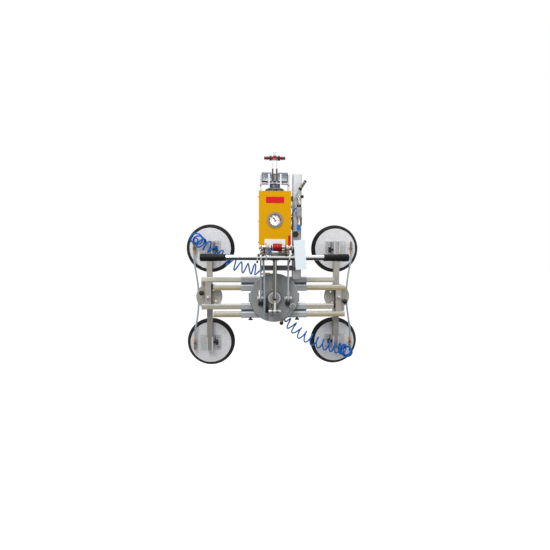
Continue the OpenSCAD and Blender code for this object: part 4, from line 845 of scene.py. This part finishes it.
def knurled_sleeve():
    """Radius = collar profile, less a diamond pattern |frac(n a + x/p) - 1/2| + |frac(n a - x/p) - 1/2|."""
    x = np.linspace(-12, 35, 95)
    a = wheel(180)
    t = x + 12
    groove = (np.abs(t - 11) < 1.2) | (np.abs(t - 36) < 1.2)
    base = np.where(groove, 19.0, 20.5) - 2.2 * (1 - ramp(t / 2.2)) - 2.2 * (1 - ramp((47 - t) / 2.2))
    turns, slope = 20 * a[None] / (2 * np.pi), x[:, None] / 6.4
    cut = np.abs((turns + slope) % 1 - 0.5) + np.abs((turns - slope) % 1 - 0.5)
    knurled = ((t > 2.5) & (t < 44.5) & ~groove)[:, None]
    return round_the_x_axis(x, base[:, None] - 0.9 * np.clip(cut - 0.35, 0, 1) * knurled, a, VALVE_Z)


for label, side in SIDES:
    piece("grip_" + label, [(grip(side), GRIP)], "hanger", ["handle_grips"], crease=50.0)
piece("slide_sleeve_knurled", [(knurled_sleeve(), RED_SLEEVE)], "slide_valve",
      ["slide_sleeve"], 60.0)

SOFT = 0.6
BALL = [(2.4, 0), (4.4, 1.2), (5.5, 3.2), (5.9, 5.8), (5.5, 8.4), (4.4, 10.4), (2.4, 11.6)]
BUTTON = [(4.6, 0), (4.6, 3), (3.4, 4)]
stalk = smooth([[-87, -96, 238], [-82, -96, 244], [-77, -94, 249], [-72, -90, 253]], 6)
blue_bend = smooth([[-12, -90, 259], [-20, -95.5, 260], [-28, -95, 254], [-31, -90, 246],
                    [-30, -86, 241]], 6)
piece("valve_line_extras", [
    spun(BLOCK, (-24, -80, 243.8), RIGHT, barrel(5.2, 6.4, 80), 24, SOFT),
    spun(NICKEL, (-24, -80, 243.8), RIGHT, barrel(6.9, 7.4, 8, 6), 24, SOFT),
    spun(BRASS, (52, -80, 243.8), RIGHT, barrel(7.6, 8.2, 10), 6),
    (tube(blue_bend, 3.0), BLUE),
    spun(NICKEL, (-71, -76, VALVE_Z), RIGHT, [(9, 0), (11, 1.5), (11, 10), (9.4, 11), (9.4, 19), (11.5, 20),
                                              (11.5, 26), (9, 27)]),
    spun(NICKEL, (-68, -86, 238), UP, [(7, 0), (9.5, 1.5), (9.5, 9), (8, 10), (8, 20), (10.5, 22), (11, 26),
                                       (9.5, 31), (6, 34)]),
    hex_rod(BRONZE, -68, -86, 240, 247, 11.5),
    spun(BOLTS, (-78, -92, 262), FRONT, [(4.4, 0), (4.4, 5), (2.4, 6)], 6),
    spun(BOLTS, (-31, BAR_Y, VALVE_Z), RIGHT, [(9, 0), (13, 1), (13, 5.5), (10.5, 6), (10.5, 8.4), (9, 9)],
         32),
    spun(BLACK, (-22, BAR_Y, VALVE_Z), RIGHT, barrel(11, 14.4, 5, 0, 0.6), 32),
    spun(BOLTS, (-17, BAR_Y, VALVE_Z), RIGHT, barrel(11, 15.4, 4.2, 0, 0.8), 32),
    spun(BLACK, (49, BAR_Y, VALVE_Z), RIGHT, barrel(9, 11.4, 4, 0, 0.6), 32),
    spun(BRONZE, (54, BAR_Y, VALVE_Z), RIGHT, barrel(10, 14.6, 9), 6),
    spun(BOLTS, (66, -97, VALVE_Z), FRONT, [(11, 0), (11.6, 1), (11.6, 4), (8.4, 5.4)], 6),
    spun(NICKEL, (60, -84, 240), UP, [(8, 0), (10, 1.5), (10, 10), (7.4, 11.5), (7.4, 16), (11, 18),
                                      (11.5, 25), (9, 28)]),
    hex_rod(NICKEL, 60, -84, 242, 249, 12.0),
    spun(BRASS, (36, -88, 248), RIGHT, barrel(5, 6.2, 9), 24),
    spun(BRONZE, (84, -84, 262), RIGHT, [(6, 0), (7.5, 1), (7.5, 8), (4.6, 9), (4.6, 17), (3.8, 18)], 24),
    spun(BLACK, (90, -84, 245), UP, [(4, 0), (5.6, 1), (5.6, 10), (4.4, 11)], 20),
    spun(BOLTS, (72, -103, VALVE_Z), FRONT, [(6.5, 0), (6.5, 3), (5, 4.2)], 6),
    spun(BOLTS, (-93.5, -93.6, 238), DOWN, barrel(2.0, 2.6, 35), 18, SOFT),
    spun(BLACK, (-93.5, -93.6, 206), DOWN, BALL, 24, SOFT),
    (tube(stalk, 2.6, 14), BOLTS),
    spun(BLACK, (-86, -96, 243), DOWN, BALL, 24, SOFT),
    spun(BLACK, (56, -94.5, 259), FRONT, BUTTON, 20), spun(BLACK, (56, -94.5, 244), FRONT, BUTTON, 20),
    spun(BLACK, (91, -84, 262), RIGHT, barrel(7, 9, 5.6, 0, 0.8)),
    flat(PALE_ZINC, (-43.5, -47.0, 251.5), 26.5, 14.5, 1.5, 2.0, 0.3),
    flat(PALE_ZINC, (43.5, -47.0, 251.5), 26.5, 14.5, 1.5, 2.0, 0.3)], "hanger")


# Bearing ring on the tilting disc, with its screws, round the spindle's nut

RING = [(34.8, 0), (34.2, 1.6), (30.6, 2.0), (29.8, 0.8), (21.5, 0.8), (21.5, 0)]
RING_SCREW = [(3.4, 0), (3.4, 3), (2.6, 3.8)]
SCREW_CIRCLE = 26.5
piece("hub_ring", [spun(BOLTS, (0, 5.0, 0), FRONT, RING, 64, loop=True)] + [
    spun(BOLTS, (SCREW_CIRCLE * math.cos(a), 4.9, SCREW_CIRCLE * math.sin(a)), FRONT, RING_SCREW, 6)
    for a in (math.pi / 8 + k * math.pi / 4 for k in range(8))], "tilt_head")

# Frame: the housing flares out where it stands on the box
piece("housing_flare", [
    spun(TANK, (0, -2, 0), UP, [(48, 579), (52, 580), (52, 584), (47, 590), (38, 593), (33.5, 596),
                                (31.5, 601), (31, 605), (31, 614.5), (30, 615.5)], 64),
    spun(PALE_ZINC, (0, -2, 0), UP, [(31, 615.6), (33, 616), (33, 618.4), (31, 618.8)], 64)],
    "hanger")

# Tilting disc: washers and dark blocks at the tilt pins, a bright rim with painted shade on its lower part,
# nuts and rod end at the crank's pin
DISHED = [(15.4, 0), (16.4, 0.8), (16, 2), (13.6, 3.4), (13.2, 0)]
RIM = [(133.4, 0), (133.8, 0.4), (135.2, 0.4), (136.2, -0.7), (136.2, -2.2), (133.4, -2.2)]
piece("pin_washers", [spun(BOLTS, (side * reach, 0, 0), (side * way, 0, 0), DISHED, 40, loop=True)
                      for side in (-1, 1) for reach, way in ((86, 1), (64, -1))],
      "tilt_head")
piece("disc_edge", [spun(DISC_RIM, (0, 23.2, 0), FRONT, RIM, 120, loop=True)],
      "tilt_head", crease=60.0)
piece("dark_blocks_at_tilt_pins", [flat(BLACK, (side * 75, 23, -36), 14, 6.5, 3, 14) for side in (-1, 1)],
      "tilt_head")
CAP_NUT = [(9.6, 0), (10.6, 0.8), (10.6, 2.2), (8.4, 3), (8.2, 9.5), (6.6, 12.4), (3, 13.4)]
piece("crank_nuts", [
    spun(BOLTS, (side * 20.2, CRANK_Y, CRANK_Z), (side, 0, 0), CAP_NUT) for side in (-1, 1)] + [
    spun(BLACK, (side * 13.8, CRANK_Y, CRANK_Z), (-side, 0, 0), [(11.5, 0), (12.4, 0.8), (11.5, 1.8)])
    for side in (-1, 1)], "tilt_head")
piece("rod_end", [spun(BOLTS, (-9.4, CRANK_Y, CRANK_Z), RIGHT, barrel(10.6, 11.8, 18.8, 0, 1.2), 40)] + [
    spun(BLACK, (x, CRANK_Y, CRANK_Z), RIGHT, [(11.4, 0), (11.4, 4.1)], 40) for x in (-13.6, 9.5)],
      "strut_inner")

# Frame: a cap at the mast's foot, screws in the side plates
FOOT_CAP = [(8.8, 0), (9.8, 1), (9.8, 5.5), (8.6, 8), (5, 9.4)]
piece("mast_foot_cap", [spun(CHEEKS, (103, -35.4, 163), FRONT, FOOT_CAP, 32)], "hanger")
piece("plate_screws", [spun(DARK, (side * 75, -20, 608), FRONT, [(4, 0), (4, 2.4), (3, 3.2)], 6)
                       for side in (-1, 1)], "hanger")

# Dark lines from the hose fitting into the hub
piece("hub_lines", [(tube(smooth([[x, 10, -47], [x + 1, 9, -36], [x + 3, 10, -22], [x + 6, 15, -10],
                                  [x + 9, 24, -3]], 6), 2.4, 10, (1.0, 0.0, 0.0)), DARK_HOSE)
                    for x in (-49.0, -43.0, -37.5)], "tilt_head")


# Inlet column: the same outlines as the source's node, each part in its own metal

def inlet_column():
    """A leaning bronze coupler on top; below it knob, block, chrome body and stem on one upright line."""
    x, y = 127.0, -45.5
    lean = math.radians(34)
    axis = (math.sin(lean), 0.0, math.cos(lean))
    foot = np.array([133.0, y, 586.0])
    ribs = [(7.9 if raised else 7.2, 15 + k * 3.2 + d) for k in range(7)
            for d, raised in ((0.0, False), (0.6, True), (2.0, True), (2.6, False))]
    coupler = [(8, 0), (9, 1), (9, 7), (7, 8), (7, 14)] + ribs + [(7, 40), (7, 50.5), (6, 52)]
    body = [(7.5, 396), (7.5, 403), (7.0, 404), (7.0, 432), (7.5, 433), (7.5, 439)]
    skins = [
        spun(BRONZE, foot, axis, coupler, 30),
        spun(BLACK, foot, axis, [(5.6, 51), (5.6, 52.0), (3.0, 52.2)], 24),
        spun(BLACK, foot, axis, [(6.4, -6), (9.6, -5), (10, -4), (10, 3), (9.4, 4), (9, 4.4)], 24),
        spun(BLACK, foot, axis, [(7.4, 44), (8.4, 45), (8.4, 49.5), (7.6, 50.4)], 24),
        spun(NICKEL, (x, y, 0), UP, [(6.5, 502), (6.5, 556), (5, 557)], 28, SOFT),
        hex_rod(NICKEL, x, y, 509, 521, 8.5), hex_rod(NICKEL, x, y, 540, 552, 8),
        spun(BLACK, (x, y, 0), UP, [(12, 489), (13, 490), (12.4, 494), (10.6, 501), (9.6, 502.4)], 36, 0.4),
        (slab((x + 0.25, y, 489), RIGHT, FRONT, 13.75, 15, 2.5, 50, 1.0), BLOCK),
        spun(CHROME, (x, y, 0), UP, body, 32, SOFT),
        flat(BRONZE, (x + 12, -37.6, 416.5), 6, 21.5, 1.5, 1.5, 0.4),
        flat(BRONZE, (x + 12, -23.6, 416.5), 6, 21.5, 1.5, 13.8, 0.5),
        flat(STEEL, (x + 1, -23.6, 464), 9, 19, 1.5, 8, 0.5),
        spun(NICKEL, (x, y, 0), UP, [(4.4, 360), (5, 361), (5, 397)], 24, SOFT)]
    for height in (447, 481):
        skins += hex_bolt(x + 0.2, -60.6, height, 3.2, 2.6)
    piece("inlet_column", skins, "hanger", ["inlet_fittings"])


inlet_column()


# Gauge: dial and bezel, and both ends of the needle, the thick one at the upper left

piece("gauge_dial", [
    spun(DIAL, (0, -51.05, DIAL_Z), FRONT, [(30.6, 0), (30.8, 0.3), (30.6, 0.6)], 64),
    spun(BEZEL, (0, -51.6, DIAL_Z), FRONT, [(30.9, 0), (30.9, 3.6), (28.8, 0.1)], 64, loop=True)],
    "hanger")
along, beside = (-0.643, 0.0, 0.766), (-0.766, 0.0, -0.643)
piece("needle_weight", [(slab((-6.1, -53.0, 428.3), along, beside, 6.8, 2.6, 2.2, 1.2, 0.2), BLACK),
                        (slab((8.4, -53.0, 411.0), along, beside, 11.5, 0.8, 0.4, 1.0, 0.1), BLACK)],
      "needle")


# Carriages: plugs close the index holes but for six, with those that the pin needs, and a cap on each pivot

HOLE_CIRCLE = 44
PLUGGED = [math.radians(145 - 15 * k) for k in range(24) if k % 3 or k in (9, 15)]
for label, side in SIDES:
    holes = [(side * (PAD_X - HOLE_CIRCLE * math.cos(a)), 92.4, -side * HOLE_CIRCLE * math.sin(a))
             for a in PLUGGED]
    piece("index_plugs_" + label, [spun(ARM_ZINC, hole, FRONT, [(4.2, 0), (4.2, 3.2), (3.7, 3.8)], 20)
                                   for hole in holes], label + "_swing")
    piece("pivot_cap_" + label, [
        # thin dark ring: painted shadow round the pivot cap
        spun(WELD_AND_SHADOW_RINGS, (side * PAD_X, 34, 0), FRONT, [(10.4, 0), (10.4, 0.6)], 32),
        spun(BOLTS, (side * PAD_X, 33.4, 0), FRONT, [(8, 0), (8, 2), (6.6, 3.4), (3, 4)])],
        label + "_carriage")


# Weld seams of the rail sleeves, each beside a strip that closes the gap

def weld_bead(z, y, low, high):
    """A bead along x: radius 1.9 + 0.5 |sin|, a ripple every 7 mm, on a line that wavers by 1.1 mm."""
    x = np.linspace(low, high, 220)
    path = np.stack([x, y + 0 * x, z + 1.1 * np.sin(x / 4.6)], 1)
    return tube(path, 1.9 + 0.5 * np.abs(np.sin(x * np.pi / 7)), 8)


seams = []
for z in (75.8, -75.8):
    seams += [(weld_bead(z, 46.5, -184, 184), WELD_AND_SHADOW_RINGS), flat(SLEEVE, (0, 51.0, z), 183, 4.6, 1.0, 2.0, 0.4)]
piece("sleeve_seams", seams, "rotor", crease=60.0)


# Stage: pale floor far below, white surroundings, one large soft lamp in front and above, two weaker ones

def seen_directly(tree):
    """1 for camera, glossy and transmission rays, 0 for the rays that carry diffuse light."""
    path = put(tree, "LightPath").outputs
    return chain(tree, "MAXIMUM", path["Is Camera Ray"], path["Is Glossy Ray"], path["Is Transmission Ray"])


def staged(name, points, material):
    """One flat face on the stage."""
    mesh = bpy.data.meshes.new(name)
    mesh.from_pydata(points, [], [list(range(len(points)))])
    mesh.materials.append(material)
    made = added(name, mesh)
    return made


def floor_and_world():
    pale, tree, _ = new_material("floor_pale")
    tree.nodes.clear()
    strength = times(tree, seen_directly(tree), 0.82)
    glow = put(tree, "Emission", {"Color": (1, 1, 1, 1), "Strength": strength})
    matt = put(tree, "BsdfDiffuse", {"Color": (0.42, 0.42, 0.42, 1)})
    total = put(tree, "AddShader", {0: glow.outputs[0], 1: matt.outputs[0]})
    put(tree, "OutputMaterial", {0: total.outputs[0]})
    staged("floor", [(-30, -30, -2.05), (30, -30, -2.05), (30, 30, -2.05), (-30, 30, -2.05)], pale)
    world = bpy.data.worlds.new("surroundings")
    bpy.context.scene.world = world
    world.use_nodes = True
    tree = world.node_tree
    feed(tree, tree.nodes["Background"], {"Strength": ranged(tree, seen_directly(tree), to_low=0.55),
                                          "Color": (1, 1, 1, 1)})


def dark_mat():
    """A dark round mat over the floor, seen only in the metal, as a studio's own floor would be."""
    cloth, tree, principled = new_material("dark_cloth")
    feed(tree, principled, {"Base Color": (0.05, 0.05, 0.05, 1)})
    a = wheel(48)
    outline = np.stack([2.6 * np.cos(a), 2.0 * np.sin(a) - 1.75, 0 * a - 1.9], 1)
    mat = staged("dark_mat", outline.tolist(), cloth)
    mat.visible_camera = mat.visible_diffuse = mat.visible_shadow = mat.visible_transmission = False


def lamp(name, place, aim, size, power):
    made = added(name, bpy.data.lights.new(name, "AREA"))
    made.data.shape, made.data.size, made.data.energy = "DISK", size, power
    made.location = place
    made.rotation_euler = (Vector(aim) - Vector(place)).to_track_quat("-Z", "Y").to_euler()


floor_and_world()
dark_mat()
lamp("softbox_above", (-1.2, -2.6, 1.9), (0.0, 0.0, -0.7), 1.8, 92.0)
lamp("softbox_top", (0.1, 0.35, 2.2), (0.0, 0.05, -0.7), 1.4, 40.0)
lamp("softbox_right", (2.6, -1.6, 0.4), (0.0, 0.0, -0.7), 1.2, 22.0)
bpy.context.scene.view_settings.view_transform = "Standard"
